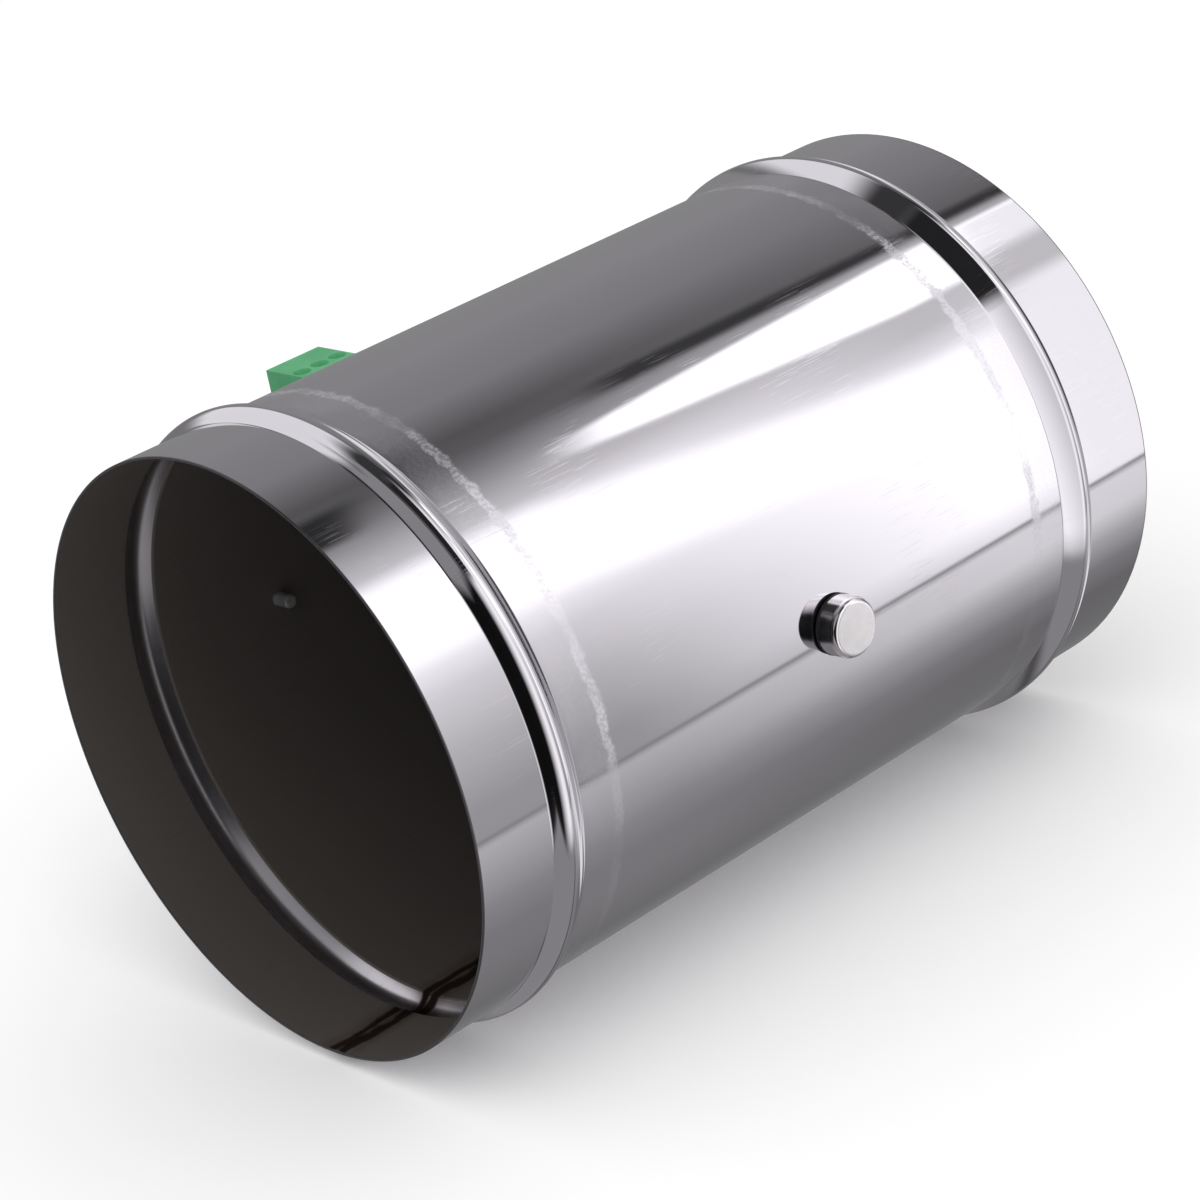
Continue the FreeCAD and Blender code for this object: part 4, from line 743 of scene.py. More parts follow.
@dataclass
class DuctTube:
    """The sheet tube with its two beads and its long weld.

    Attributes:
        length: Length of the tube.
        radius: Outer radius of the plain tube.
        sheet: Thickness of the sheet.
        edge: Radius of the rounded edges at the ends.
        beads: The two beads.
        bend: Reach of the small bend at the foot of a bead's flank.
        steps: Steps of the turn.
        arc_steps: Steps from a bead's crest to its flank.
        plain_steps: Steps of the wall between the beads.
        weld_height: Height of the weld inside.
        weld_outside: Share of that height outside, where the weld is ground down.
        weld_reach: Half width of the raised weld.
        weld_cuts: Cuts that split each step beside the weld.
        ripple: Share by which the weld's height ripples.
        ripple_length: Length of a ripple along the weld, over one radian.
        weld_turn: Turn of the weld from the lowest line in degrees.
        weld_clear: Half width of the strip at the weld that keeps its own normals.
        shaft: Distance of the shaft from the inlet.
        foot_screw: Distance of the bracket's foot screws from the shaft.
        idle_hole: Radius of the hole for the idle bearing.
        drive_hole: Radius of the hole for the drive bearing.
        screw_hole: Radius of the holes for the foot screws.
        hole_depth: Depth of the cut that makes a hole, half of it inside the tube.
        hole_steps: Steps round a hole.
        upright: Cosine between a face's normal and its spoke above which the face is plain wall.
    """

    length: float = DUCT_LENGTH
    radius: float = DUCT_RADIUS
    sheet: float = SHEET
    edge: float = 0.12 * MM
    beads: tuple[Bead, ...] = (
        Bead(21.2 * MM, -1, 2.2 * MM, 3.6 * MM, 48.0, 40.0),
        Bead(167.8 * MM, 1, 2.2 * MM, 3.0 * MM, 55.0, 25.0),
    )
    bend: float = 0.2 * MM
    steps: int = 360
    arc_steps: int = 12
    plain_steps: int = 8
    weld_height: float = 0.25 * MM
    weld_outside: float = 0.1
    weld_reach: float = 1.1 * MM
    weld_cuts: int = 3
    ripple: float = 0.25
    ripple_length: float = 0.7 * MM
    weld_turn: float = WELD_TURN
    weld_clear: float = 3 * MM
    shaft: float = SHAFT
    foot_screw: float = 40 * MM
    idle_hole: float = 4.6 * MM
    drive_hole: float = 7.0 * MM
    screw_hole: float = 1.5 * MM
    hole_depth: float = 12 * MM
    hole_steps: int = 64
    upright: float = 0.999

    def rolled(self, bead: Bead, depth: float) -> list[tuple[float, float]]:
        """Points of one bead on one face of the sheet.

        Args:
            bead: The bead.
            depth: Depth of the face under the outer face.

        Returns:
            Pairs of distance and radius in the order of the distance.
        """
        face, runs = self.radius - depth, {0.0}
        for side in (-1, 1):
            arc, foot, turn = bead.radius - depth, bead.reach(side, depth), bead.lean(side)
            curve = [arc * math.sin(turn * step / self.arc_steps) for step in range(1, self.arc_steps + 1)]
            runs.update(side * away for away in curve + [foot - self.bend, foot + self.bend])
        return [(bead.crest + run, face + bead.height(run, depth)) for run in sorted(runs)]

    def wall(self, inner: bool) -> list[tuple[float, float]]:
        """One face of the sheet from the inlet to the outlet.

        Args:
            inner: Whether the inner face is meant.

        Returns:
            Pairs of distance and radius.
        """
        depth = self.sheet if inner else 0.0
        face = self.radius - depth
        soft = face + (self.edge if inner else -self.edge)
        first, second = (self.rolled(bead, depth) for bead in self.beads)
        start, end, plain = first[-1][0], second[0][0], self.plain_steps
        middle = [(start + (end - start) * step / plain, face) for step in range(1, plain)]
        opening = [(0.0, soft), (self.edge * 0.3, (soft + 2 * face) / 3), (self.edge, face)]
        closing = [(self.length - run, away) for run, away in reversed(opening)]
        return opening + first + middle + second + closing

    def build(self) -> bpy.types.Object:
        """Model the tube.

        Returns:
            The finished piece.
        """
        profile = self.wall(False) + self.wall(True)[::-1]
        shape = spun(profile, Vector((1, 0, 0)), Vector(), self.steps)
        self.raise_weld(shape)
        turn = Matrix.Rotation(math.radians(-self.weld_turn), 3, "X")
        bmesh.ops.rotate(shape, cent=Vector(), matrix=turn, verts=shape.verts)
        sharpen(shape)
        item = finished(shape, "duct_sheet_tube", "housing", "duct_tube")
        self.drill(item)
        return item

    def raise_weld(self, shape: bmesh.types.BMesh) -> None:
        """Raise the seam along the lowest line.

        Args:
            shape: Shape of the tube.
        """
        near, same, wide = 2 * self.weld_reach, 1e-7, 0.2 * MM
        ring = [
            edge
            for edge in shape.edges
            if all(v.co.z < 0 and abs(v.co.y) < near for v in edge.verts)
            and abs(edge.verts[0].co.x - edge.verts[1].co.x) < same
            and abs(edge.verts[0].co.y - edge.verts[1].co.y) > wide
        ]
        bmesh.ops.subdivide_edges(shape, edges=ring, cuts=self.weld_cuts, use_grid_fill=True)
        for vert in shape.verts:
            if vert.co.z < 0 and abs(vert.co.y) < self.weld_reach:
                share = 0.5 + 0.5 * math.cos(math.pi * vert.co.y / self.weld_reach)
                ripple = 1 + self.ripple * math.sin(vert.co.x / self.ripple_length)
                away = math.hypot(vert.co.y, vert.co.z)
                rise = self.weld_height * (-1.0 if self.on_inner_face(vert.co) else self.weld_outside)
                factor = (away + rise * share * ripple) / away
                vert.co.y *= factor
                vert.co.z *= factor

    def on_inner_face(self, point: Vector) -> bool:
        """Whether a point belongs to the inner face of the sheet.

        Args:
            point: Point of the mesh.

        Returns:
            True for the inner face.
        """
        swell = max(bead.height(point.x - bead.crest) for bead in self.beads)
        return math.hypot(point.y, point.z) < self.radius + swell - self.sheet / 2

    def drill(self, item: bpy.types.Object) -> None:
        """Cut the holes for the bearings and the bracket's screws.

        Args:
            item: The tube.
        """
        holes = [
            (self.shaft, -1, self.idle_hole),
            (self.shaft, 1, self.drive_hole),
            (self.shaft - self.foot_screw, 1, self.screw_hole),
            (self.shaft + self.foot_screw, 1, self.screw_hole),
        ]
        cutter = bmesh.new()
        for x, side, radius in holes:
            place = Matrix.Translation((x, side * self.radius, 0)) @ Matrix.Rotation(math.pi / 2, 4, "X")
            bmesh.ops.create_cone(
                cutter,
                cap_ends=True,
                segments=self.hole_steps,
                radius1=radius,
                radius2=radius,
                depth=self.hole_depth,
                matrix=place,
            )
        mesh = bpy.data.meshes.new("tube_holes")
        cutter.to_mesh(mesh)
        cutter.free()
        tool = bpy.data.objects.new("tube_holes", mesh)
        bpy.context.scene.collection.objects.link(tool)
        step = item.modifiers.new("holes", "BOOLEAN")
        step.operation = "DIFFERENCE"
        step.solver = "EXACT"
        step.object = tool
        graph = bpy.context.evaluated_depsgraph_get()
        drilled = bpy.data.meshes.new_from_object(item.evaluated_get(graph))
        item.modifiers.clear()
        item.data = drilled
        bpy.data.objects.remove(tool)
        self.true_normals(item)

    def true_normals(self, item: bpy.types.Object) -> None:
        """Give the plain wall its exact normals, so that the holes don't dent the reflections.

        Args:
            item: The tube.
        """
        mesh = item.data
        feet = [bead.crest + side * (bead.reach(side) + self.bend) for bead in self.beads for side in (-1, 1)]
        plain = [(0.0, feet[0]), (feet[1], feet[2]), (feet[3], self.length)]
        turn = math.radians(self.weld_turn)
        normals = [Vector(corner.vector) for corner in mesh.corner_normals]
        for face in mesh.polygons:
            out = Vector((0.0, face.center.y, face.center.z)).normalized()
            lean = face.normal.dot(out)
            if abs(lean) < self.upright or not any(start < face.center.x < end for start, end in plain):
                continue
            across = face.center.y * math.cos(turn) - face.center.z * math.sin(turn)
            if face.center.z < 0 and abs(across) < self.weld_clear:
                continue
            for loop in face.loop_indices:
                point = mesh.vertices[mesh.loops[loop].vertex_index].co
                normal = Vector((0.0, point.y, point.z)).normalized()
                normals[loop] = normal if lean > 0 else -normal
        mesh.normals_split_custom_set(normals)

    def dress(self, item: bpy.types.Object, paints: Paintbox) -> None:
        """Dress the tube."""
        paints.dress(item, Slot.STAINLESS)


@dataclass
class IdleBearing:
    """The cap over the shaft's idle end and the dark ring behind it.

    Attributes:
        shaft: Distance of the shaft from the inlet.
        bore: Radius of the collar inside the cap.
        radius: Radius of the cap.
        ring_radius: Radius of the ring.
        ring_back: Distance of the ring's back from the duct's axis.
        ring_front: Distance of the ring's front, where the cap starts.
        floor: Distance of the cap's inner floor.
        step: Distance at which the side ends in a small step.
        crown: Radius of the face with its rounded rim.
        face: Distance of the face.
        rim: Radius of the rounded rim.
        rim_steps: Steps of the rounded rim.
        strip: Width of the flat strip inside the rim that keeps its shading tight.
        soft: Width of the small bevels.
        lip: Depth by which the wall behind the crown is set back.
        steps: Steps of the turn.
    """

    shaft: float = SHAFT
    bore: float = 4.65 * MM
    radius: float = 6.05 * MM
    ring_radius: float = 6.14 * MM
    ring_back: float = 62.76 * MM
    ring_front: float = 63.3 * MM
    floor: float = 66.75 * MM
    step: float = 66.62 * MM
    crown: float = 5.85 * MM
    face: float = 67.73 * MM
    rim: float = 0.8 * MM
    rim_steps: int = 8
    strip: float = 0.15 * MM
    soft: float = 0.1 * MM
    lip: float = 0.05 * MM
    steps: int = 144

    def build(self) -> list[bpy.types.Object]:
        """Model both pieces.

        Returns:
            The cap and the ring.
        """
        axis, centre = Vector((0, -1, 0)), Vector((self.shaft, 0, 0))
        flat, neck, base = self.crown - self.rim, self.crown - self.lip, self.face - self.rim
        profile = [
            (self.floor, 0.0),
            (self.floor, self.bore),
            (self.ring_front, self.bore),
            (self.ring_front, self.radius - self.soft),
            (self.ring_front + self.soft, self.radius),
            (self.step - self.soft, self.radius),
            (self.step, self.radius - self.soft),
            (self.step, neck),
            (self.step + self.soft, neck),
            (base, self.crown),
        ]
        for number in range(1, self.rim_steps + 1):
            angle = math.radians(90 * number / self.rim_steps)
            profile.append((self.face - self.rim * (1 - math.sin(angle)), flat + self.rim * math.cos(angle)))
        profile += [(self.face, flat - self.strip), (self.face, 0.0)]
        cap = spun(profile, axis, centre, self.steps, closed=False)
        sharpen(cap)
        band = [
            (self.ring_back, self.bore),
            (self.ring_back, self.ring_radius - self.soft),
            (self.ring_back + self.soft, self.ring_radius),
            (self.ring_front - self.soft, self.ring_radius),
            (self.ring_front, self.ring_radius - self.soft),
            (self.ring_front, self.bore),
        ]
        ring = spun(band, axis, centre, self.steps)
        return [
            finished(cap, "turned_bearing_cap", "housing", "bearing_cap"),
            finished(ring, "black_cap_ring", "housing", "cap_seal_ring"),
        ]

    def dress(self, items: list[bpy.types.Object], paints: Paintbox) -> None:
        """Dress the cap and its ring."""
        for item, slot in zip(items, (Slot.CAP, Slot.SEAL)):
            paints.dress(item, slot)


@dataclass
class SoftEdges:
    """CAD nodes whose edges get the small radii of pressed, moulded and turned parts.

    Attributes:
        radii: Edge radius of each node.
        limit: Angle in degrees above which an edge is rounded.
        steps: Steps across a rounded edge.
        flat: Angle in degrees under which faces are one flat face.
        crease: Angle in degrees above which an edge still shows sharp.
    """

    radii: dict[str, float] = field(default_factory=lambda: {
        "drive_cover": 0.9 * MM,
        "cover_screws": 0.45 * MM,
        "drive_bracket": 0.3 * MM,
        "bracket_foot_screws": 0.5 * MM,
        "saddle_pads": 0.35 * MM,
        "terminal_plug": 0.4 * MM,
        "terminal_header": 0.25 * MM,
        "plug_clamp_screws": 0.15 * MM,
        "gearbox_base_plate": 0.2 * MM,
        "gearbox_outer_plate": 0.2 * MM,
        "base_plate_screws": 0.4 * MM,
        "bracket_screws": 0.3 * MM,
        "bracket_nuts": 0.25 * MM,
        "blade_front_disc": 0.15 * MM,
        "blade_rear_disc": 0.15 * MM,
        "blade_strip": 0.3 * MM,
        "blade_screws": 0.6 * MM,
        "blade_nuts": 0.35 * MM,
        "motor_can": 0.5 * MM,
        "circuit_board": 0.1 * MM,
    })
    limit: float = 38.0
    steps: int = 3
    flat: float = 0.5
    crease: float = 50.0

    def build(self, frame: dict[str, Any]) -> list[tuple[str, bpy.types.Object]]:
        """Model the rounded pieces.


        Returns:
            Pairs of the CAD node's name and the new piece.
        """
        bodies = frame["record"]["behaviour"]["bodies"]
        carriers = {name: body for body, names in bodies.items() for name in names}
        pieces = []
        for name, radius in self.radii.items():
            shape = self.round(frame["nodes"][name], radius)
            item = finished(shape, name + "_rounded", carriers[name], name)
            item.modifiers.new("even_shading", "WEIGHTED_NORMAL").keep_sharp = True
            pieces.append((name, item))
        return pieces

    def round(self, source: bpy.types.Object, radius: float) -> bmesh.types.BMesh:
        """Copy a CAD node and round its edges.

        Args:
            source: CAD node.
            radius: Edge radius.

        Returns:
            The rounded shape.
        """
        shape = bmesh.new()
        shape.from_mesh(source.data)
        bmesh.ops.remove_doubles(shape, verts=shape.verts, dist=SAME_POINT)
        flat = math.radians(self.flat)
        bmesh.ops.dissolve_limit(shape, angle_limit=flat, verts=shape.verts, edges=shape.edges)
        bmesh.ops.bevel(
            shape,
            geom=folds(shape, self.limit),
            offset=radius,
            offset_type="OFFSET",
            affect="EDGES",
            segments=self.steps,
            profile=0.5,
            material=-1,
            clamp_overlap=True,
        )
        bmesh.ops.triangulate(shape, faces=[face for face in shape.faces if len(face.verts) > 4])
        for face in shape.faces:
            face.smooth = True
        sharpen(shape, self.crease)
        return shape

    def dress(
        self, pieces: list[tuple[str, bpy.types.Object]], slots: dict[str, Slot], paints: Paintbox
    ) -> None:
        """Dress the rounded pieces as the nodes they stand for.

        Args:
            pieces: Pairs of node name and piece.
            slots: Slot of each node.
            paints: The finishes.
        """
        for name, item in pieces:
            paints.dress(item, slots[name])


@dataclass(frozen=True)
class Tone:
    """How bright the studio looks in one direction round the duct.

    Attributes:
        name: What stands there.
        angle: Angle round the duct in degrees, from level in front, upwards.
        near: Screen level as the near end of the duct shows it.
        far: Screen level as the far end shows it.
    """

    name: str
    angle: float
    near: float
    far: float


@dataclass(frozen=True)
class Panel:
    """A soft bright or dark field of the studio, a band of angles round the duct's axis.

    Attributes:
        name: What the field is.
        low: Lower edge in degrees, as the near and the far end show it.
        high: Upper edge in degrees, as the near and the far end show it.
        soft: Softness of the edges in degrees.
        tone: Brightness.
        begins: Slants along the duct between which the field comes in.
        ends: Slants along the duct between which it goes out.
    """

    name: str
    low: tuple[float, float]
    high: tuple[float, float]
    soft: float
    tone: float
    begins: tuple[float, float] = (0.42, 0.5)
    ends: tuple[float, float] = (2.0, 3.0)


def level(shown: float, mirrored: float = 0.7) -> float:
    """Brightness of the studio that shows as a given screen level in the bright sheet.

    Args:
        shown: Screen level from 0 to 255; above that it stays brighter than white.
        mirrored: Share of the light that the bright sheet gives back.

    Returns:
        Linear brightness.
    """
    return light_of(shown / 255) / mirrored


@dataclass
class Studio:
    """Camera, floor, lamp and the surroundings that the metal shows.

    Attributes:
        eye: Place of the camera.
        right: Direction to the right of the picture.
        up: Direction up the picture.
        back: Direction from the scene to the camera.
        lens: Focal length in millimetres.
        sensor: Width of the picture in the camera in millimetres.
        floor: Height of the floor.
        floor_reach: Distance from the middle of the floor to its edges.
        paper: Colour of the white paper as sRGB hex.
        paper_glow: Light that the paper adds to what the camera sees.
        glow_tint: Colour of that light as sRGB hex.
        paper_roughness: Roughness of the matt paper.
        lamp: Place of the lamp, which points at the origin.
        lamp_width: Width of the lamp.
        lamp_power: Power of the lamp in watts.
        turn: Turn of the surroundings round the duct in degrees.
        slants: Slant along the duct that the near and the far end show.
        tones: Surroundings round the duct.
        behind: Slant along the duct and screen level on the camera's side.
        behind_span: Slants between which those levels run.
        behind_middle: Angle round the duct of the middle of that side in degrees.
        behind_fade: Angles from that middle between which the side goes dark in degrees.
        ahead: Slants between which the camera's side gives way to the surroundings round the duct.
        panels: Fields with slanted edges.
        unlit: Brightness of everything else.
        even: Brightness that matt pieces receive from all round.
    """

    eye: tuple[float, float, float] = (-0.332234, -0.515996, 0.270563)
    right: tuple[float, float, float] = (0.711447, -0.678794, -0.181882)
    up: tuple[float, float, float] = (0.388746, 0.164542, 0.906534)
    back: tuple[float, float, float] = (-0.585422, -0.715659, 0.380942)
    lens: float = 106.05
    sensor: float = 36.0
    floor: float = -64.9 * MM
    floor_reach: float = 6.0
    paper: str = "#fbfbfb"
    paper_glow: float = 0.06
    glow_tint: str = "#ffffff"
    paper_roughness: float = 0.9
    lamp: tuple[float, float, float] = (-0.9, -1.1, 1.9)
    lamp_width: float = 2.0
    lamp_power: float = 15.0
    turn: float = 3.0
    slants: tuple[float, float] = (0.578, 0.673)
    tones: tuple[Tone, ...] = (
        Tone("dark under the table", -180, 120, 120),
        Tone("ground behind", -120, 100, 100),
        Tone("ground", -92, 115, 98),
        Tone("edge of the ground", -78, 118, 118),
        Tone("paper near the object", -65, 131, 160),
        Tone("paper in front", -53, 152, 206),
        Tone("far edge of the paper", -40, 172, 212),
        Tone("dark gap", -38.2, 122, 100),
        Tone("lower wall", -36.6, 146, 232),
        Tone("wall", -26, 148, 264),
        Tone("wall behind the camera", -4, 176, 270),
        Tone("wall under the light", 16, 207, 275),
        Tone("start of the light", 27, 240, 262),
        Tone("light", 36, 262, 236),
        Tone("end of the light", 50, 262, 190),
        Tone("ceiling edge", 64, 190, 186),
        Tone("ceiling", 77, 142, 181),
        Tone("dark strip", 84, 112, 170),
        Tone("dark strip above", 91, 88, 92),
        Tone("ceiling behind", 99, 80, 101),
        Tone("back wall", 118, 120, 116),
        Tone("far wall", 150, 127, 127),
        Tone("far wall's foot", 180, 120, 120),
    )
    behind: tuple[tuple[float, float], ...] = (
        (-1.0, 12), (-0.4, 16), (-0.3, 110), (-0.14, 180), (0.0, 214), (0.16, 244), (0.32, 225), (0.44, 195),
    )
    behind_span: tuple[float, float] = (-1.0, 0.5)
    behind_middle: float = 15.0
    behind_fade: tuple[float, float] = (52.0, 74.0)
    ahead: tuple[float, float] = (0.36, 0.45)
    panels: tuple[Panel, ...] = (
        Panel("main softbox", (29, 10), (59, 37), 5.0, 1.6),
        Panel("narrow light", (72.5, 60.5), (75.5, 82.6), 1.6, 1.9, (0.588, 0.612)),
        Panel("dark near end", (80, 80), (94, 94), 2.5, 0.03, (0.3, 0.4), (0.537, 0.548)),
        Panel("dark strip over the light", (86, 87), (94, 92), 2.0, 0.05, (0.6, 0.612)),
        Panel("light above the opening", (106, 106), (168, 168), 8.0, 0.95, (-0.7, -0.5), (0.3, 0.42)),
        Panel("room behind the object", (166, 166), (190, 190), 6.0, 0.22, (-1.2, -1.1), (0.36, 0.45)),
        Panel("foot of the room", (-195, -195), (-120, -120), 6.0, 0.22, (-1.2, -1.1), (0.36, 0.45)),
        Panel("dimmer wall past the far end", (-36, -36), (82, 82), 1.5, 1.22, (0.686, 0.693), (0.73, 0.76)),
        Panel("screen past the far end", (50, 50), (66, 66), 4.0, 0.72, (0.686, 0.693), (0.73, 0.76)),
        Panel("paper before the opening", (-125, -125), (-50, -50), 4.0, 0.3, (-1.2, -1.1), (0.3, 0.4)),
        Panel("wall over the camera", (47, 47), (108, 108), 6.0, 0.3, (-1.2, -1.1), (-0.45, -0.38)),
        Panel("light past the far end", (-175, -175), (175, 175), 1.0, 0.95, (0.71, 0.77), (0.82, 0.87)),
        Panel("grey past the far end", (-175, -175), (175, 175), 1.0, 0.5, (0.82, 0.88)),
        Panel("dark past the far end", (-175, -175), (175, 175), 1.0, 0.05, (0.96, 0.975)),
        Panel("dark stand behind the camera", (44, 44), (86, 86), 4.0, 0.02, (-0.35, -0.25), (0.16, 0.22)),
    )
    unlit: float = 0.045
    even: float = 0.9

    def build(self) -> None:
        """Set up the whole studio."""
        self.place_camera()
        self.lay_floor()
        self.hang_lamp()
        self.surround()

    def place_camera(self) -> None:
        """Put the camera where the picture was taken from."""
        data = bpy.data.cameras.new("camera")
        data.lens = self.lens
        data.sensor_fit = "HORIZONTAL"
        data.sensor_width = self.sensor
        camera = bpy.data.objects.new("camera", data)
        bpy.context.scene.collection.objects.link(camera)
        turn = Matrix((self.right, self.up, self.back)).transposed()
        camera.matrix_world = Matrix.Translation(self.eye) @ turn.to_4x4()
        bpy.context.scene.camera = camera

    def lay_floor(self) -> None:
        """Lay the white paper just under the tube."""
        shape = bmesh.new()
        place = Matrix.Translation((0, 0, self.floor))
        bmesh.ops.create_grid(shape, x_segments=1, y_segments=1, size=self.floor_reach, matrix=place)
        mesh = bpy.data.meshes.new("floor")
        shape.to_mesh(mesh)
        shape.free()
        floor = bpy.data.objects.new("floor", mesh)
        bpy.context.scene.collection.objects.link(floor)
        floor.visible_glossy = False
        material = bpy.data.materials.new("white_paper_floor")
        material.use_nodes = True
        tree = material.node_tree
        surface = tree.nodes["Principled BSDF"]
        surface.inputs["Base Color"].default_value = linear(self.paper)
        surface.inputs["Roughness"].default_value = self.paper_roughness
        surface.inputs["Specular IOR Level"].default_value = 0.0
        surface.inputs["Emission Color"].default_value = linear(self.glow_tint)
        rays = add_node(tree, "ShaderNodeLightPath")
        clear = {0: rays.outputs["Is Camera Ray"], 1: rays.outputs["Is Transmission Ray"]}
        seen = add_node(tree, MATH, LARGER, clear)
        glow = add_node(tree, MATH, TIMES, {0: seen.outputs[0], 1: self.paper_glow})
        tree.links.new(glow.outputs[0], surface.inputs["Emission Strength"])
        mesh.materials.append(material)

    def hang_lamp(self) -> None:
        """Hang one broad soft lamp above and to the left."""
        data = bpy.data.lights.new("soft_lamp", "AREA")
        data.shape = "SQUARE"
        data.size = self.lamp_width
        data.energy = self.lamp_power
        lamp = bpy.data.objects.new("soft_lamp", data)
        bpy.context.scene.collection.objects.link(lamp)
        place = Vector(self.lamp)
        lamp.matrix_world = Matrix.Translation(place) @ place.to_track_quat("Z", "Y").to_matrix().to_4x4()
        lamp.visible_glossy = False

    def ramp(
        self, tree: bpy.types.NodeTree, share: Any, stops: list[tuple[float, float]]
    ) -> bpy.types.NodeSocket:
        """Brightness that runs through a row of levels.

        Args:
            tree: Node tree of the surroundings.
            share: Socket of the place on the ramp from 0 to 1.
            stops: Place and screen level of each stop.

        Returns:
            Socket of the brightness.
        """
        node = add_node(tree, "ShaderNodeValToRGB", None, {0: share})
        row, middle = node.color_ramp.elements, 0.5
        while len(row) < len(stops):
            row.new(middle)
        for stop in row:
            stop.position = middle
        for stop, (where, shown) in zip(row, stops):
            light = level(shown)
            stop.position, stop.color = where, (light, light, light, 1.0)
        return node.outputs[0]

    def hang_panel(
        self, tree: bpy.types.NodeTree, panel: Panel, light: Any, angle: Any, far: Any, along: Any
    ) -> bpy.types.NodeSocket:
        """Add one panel to the surroundings.

        Args:
            tree: Node tree of the surroundings.
            panel: The panel.
            light: Brightness so far.
            angle: Angle round the duct.
            far: Share of the way from the near to the far end.
            along: Slant along the duct.

        Returns:
            Brightness with the panel.
        """
        low, high = (
            add_node(tree, MATH, TIMES_PLUS, {0: far, 1: far_edge - near_edge, 2: near_edge}).outputs[0]
            for near_edge, far_edge in (panel.low, panel.high)
        )
        over = add_node(tree, MATH, MINUS, {0: angle, 1: low}).outputs[0]
        under = add_node(tree, MATH, MINUS, {0: high, 1: angle}).outputs[0]
        share: Any = 1.0
        for source, (start, end) in (
            (over, (-panel.soft, panel.soft)),
            (under, (-panel.soft, panel.soft)),
            (along, panel.begins),
            (along, panel.ends[::-1]),
        ):
            part = add_node(tree, RANGE, SMOOTH, {0: source, 1: start, 2: end})
            share = add_node(tree, MATH, TIMES, {0: part.outputs[0], 1: share}).outputs[0]
        hung = {0: share, 2: light, 3: panel.tone}
        return add_node(tree, MIX, LEVELS | {"label": panel.name}, hung).outputs[0]

    def surround(self) -> None:
        """Give the metal soft boxes and dark gaps to show, and everything else even light."""
        world = bpy.data.worlds.new("studio")
        bpy.context.scene.world = world
        world.use_nodes = True
        tree = world.node_tree
        tree.nodes.clear()
        heading = add_node(tree, "ShaderNodeTexCoord").outputs["Generated"]
        along, across, up = add_node(tree, "ShaderNodeSeparateXYZ", None, {0: heading}).outputs
        facing = add_node(tree, MATH, TIMES, {0: across, 1: -1.0})
        turned = add_node(tree, MATH, ANGLE, {0: up, 1: facing.outputs[0]})
        degrees = {0: turned.outputs[0], 1: math.degrees(1), 2: -self.turn}
        angle = add_node(tree, MATH, TIMES_PLUS, degrees).outputs[0]
        # Surroundings round the duct, as its near and its far end show them
        far = add_node(tree, RANGE, None, {0: along, 1: self.slants[0], 2: self.slants[1]}).outputs[0]
        share = add_node(tree, MATH, TIMES_PLUS, {0: angle, 1: 1 / 360, 2: 0.5}).outputs[0]
        near_light = self.ramp(tree, share, [(tone.angle / 360 + 0.5, tone.near) for tone in self.tones])
        far_light = self.ramp(tree, share, [(tone.angle / 360 + 0.5, tone.far) for tone in self.tones])
        front = add_node(tree, MIX, LEVELS, {0: far, 2: near_light, 3: far_light})
        # The camera's side, which the flanks of the beads and the cap show
        first, last = self.behind_span
        place = add_node(tree, RANGE, None, {0: along, 1: first, 2: last})
        stops = [((slant - first) / (last - first), shown) for slant, shown in self.behind]
        back = self.ramp(tree, place.outputs[0], stops)
        middle = add_node(tree, MATH, MINUS, {0: angle, 1: self.behind_middle})
        off = add_node(tree, MATH, UNSIGNED, {0: middle.outputs[0]})
        fade = {0: off.outputs[0], 1: self.behind_fade[0], 2: self.behind_fade[1]}
        window = add_node(tree, RANGE, SMOOTH, fade)
        behind = add_node(tree, MIX, LEVELS, {0: window.outputs[0], 2: back, 3: self.unlit})
        ahead = add_node(tree, RANGE, SMOOTH, {0: along, 1: self.ahead[0], 2: self.ahead[1]})
        both = {0: ahead.outputs[0], 2: behind.outputs[0], 3: front.outputs[0]}
        light = add_node(tree, MIX, LEVELS, both).outputs[0]
        for panel in self.panels:
            light = self.hang_panel(tree, panel, light, angle, far, along)
        LOG.info("surroundings: %s", ", ".join(part.name for part in self.tones + self.panels))
        # Only reflections show all this: the camera sees white, and matt pieces get even light
        rays = add_node(tree, "ShaderNodeLightPath")
        clear = {0: rays.outputs["Is Camera Ray"], 1: rays.outputs["Is Transmission Ray"]}
        plain = add_node(tree, MATH, LARGER, clear)
        even = add_node(tree, MIX, LEVELS, {0: plain.outputs[0], 2: self.even, 3: 1.0})
        seen = add_node(tree, MIX, LEVELS, {0: rays.outputs["Is Glossy Ray"], 2: even.outputs[0], 3: light})
        background = add_node(tree, "ShaderNodeBackground", None, {0: seen.outputs[0], 1: 1.0})
        add_node(tree, "ShaderNodeOutputWorld", None, {0: background.outputs[0]})
        bpy.context.scene.view_settings.view_transform = "Standard"


@dataclass
class CarriedOver:
    """CAD nodes that stay as they are and take their finish from the record's slots.

    Attributes:
        shown: Names of the nodes that were dressed.
    """

    shown: list[str] = field(default_factory=list)

    def dress(self, frame: dict[str, Any], slots: dict[str, Slot], paints: Paintbox) -> None:
        """Dress every CAD node that no new piece stands for.

        Args:
            slots: Slot of each node.
            paints: The finishes.
        """
        for name, item in sorted(frame["nodes"].items()):
            if item.hide_render:
                continue
            paints.dress(item, slots[name])
            self.shown.append(name)
        LOG.info("carried over: %s", ", ".join(self.shown))


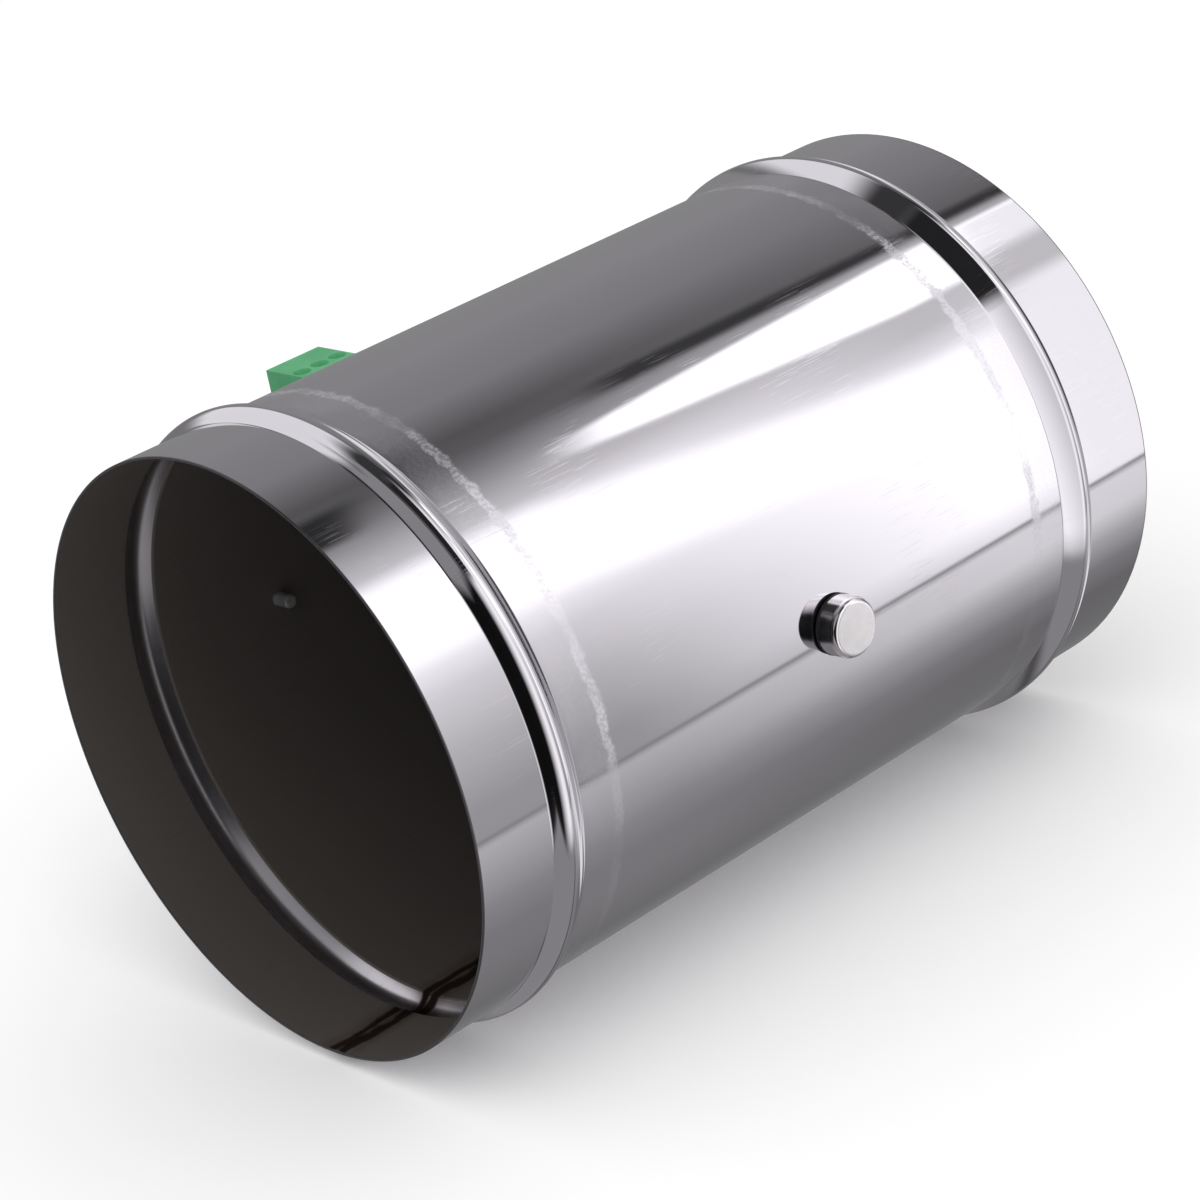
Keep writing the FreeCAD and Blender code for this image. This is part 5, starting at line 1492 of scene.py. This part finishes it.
def main() -> None:
    """Build and dress everything in order."""
    logging.basicConfig(level=logging.INFO, format="%(name)s %(message)s")
    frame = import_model()
    slots = {part["node"]: Slot(part["material_slot"]) for part in frame["record"]["subparts"]}
    paints = Paintbox()
    tube = DuctTube()
    tube.dress(tube.build(), paints)
    bearing = IdleBearing()
    bearing.dress(bearing.build(), paints)
    edges = SoftEdges()
    edges.dress(edges.build(frame), slots, paints)
    CarriedOver().dress(frame, slots, paints)
    Studio().build()


if __name__ == "__main__":
    main()
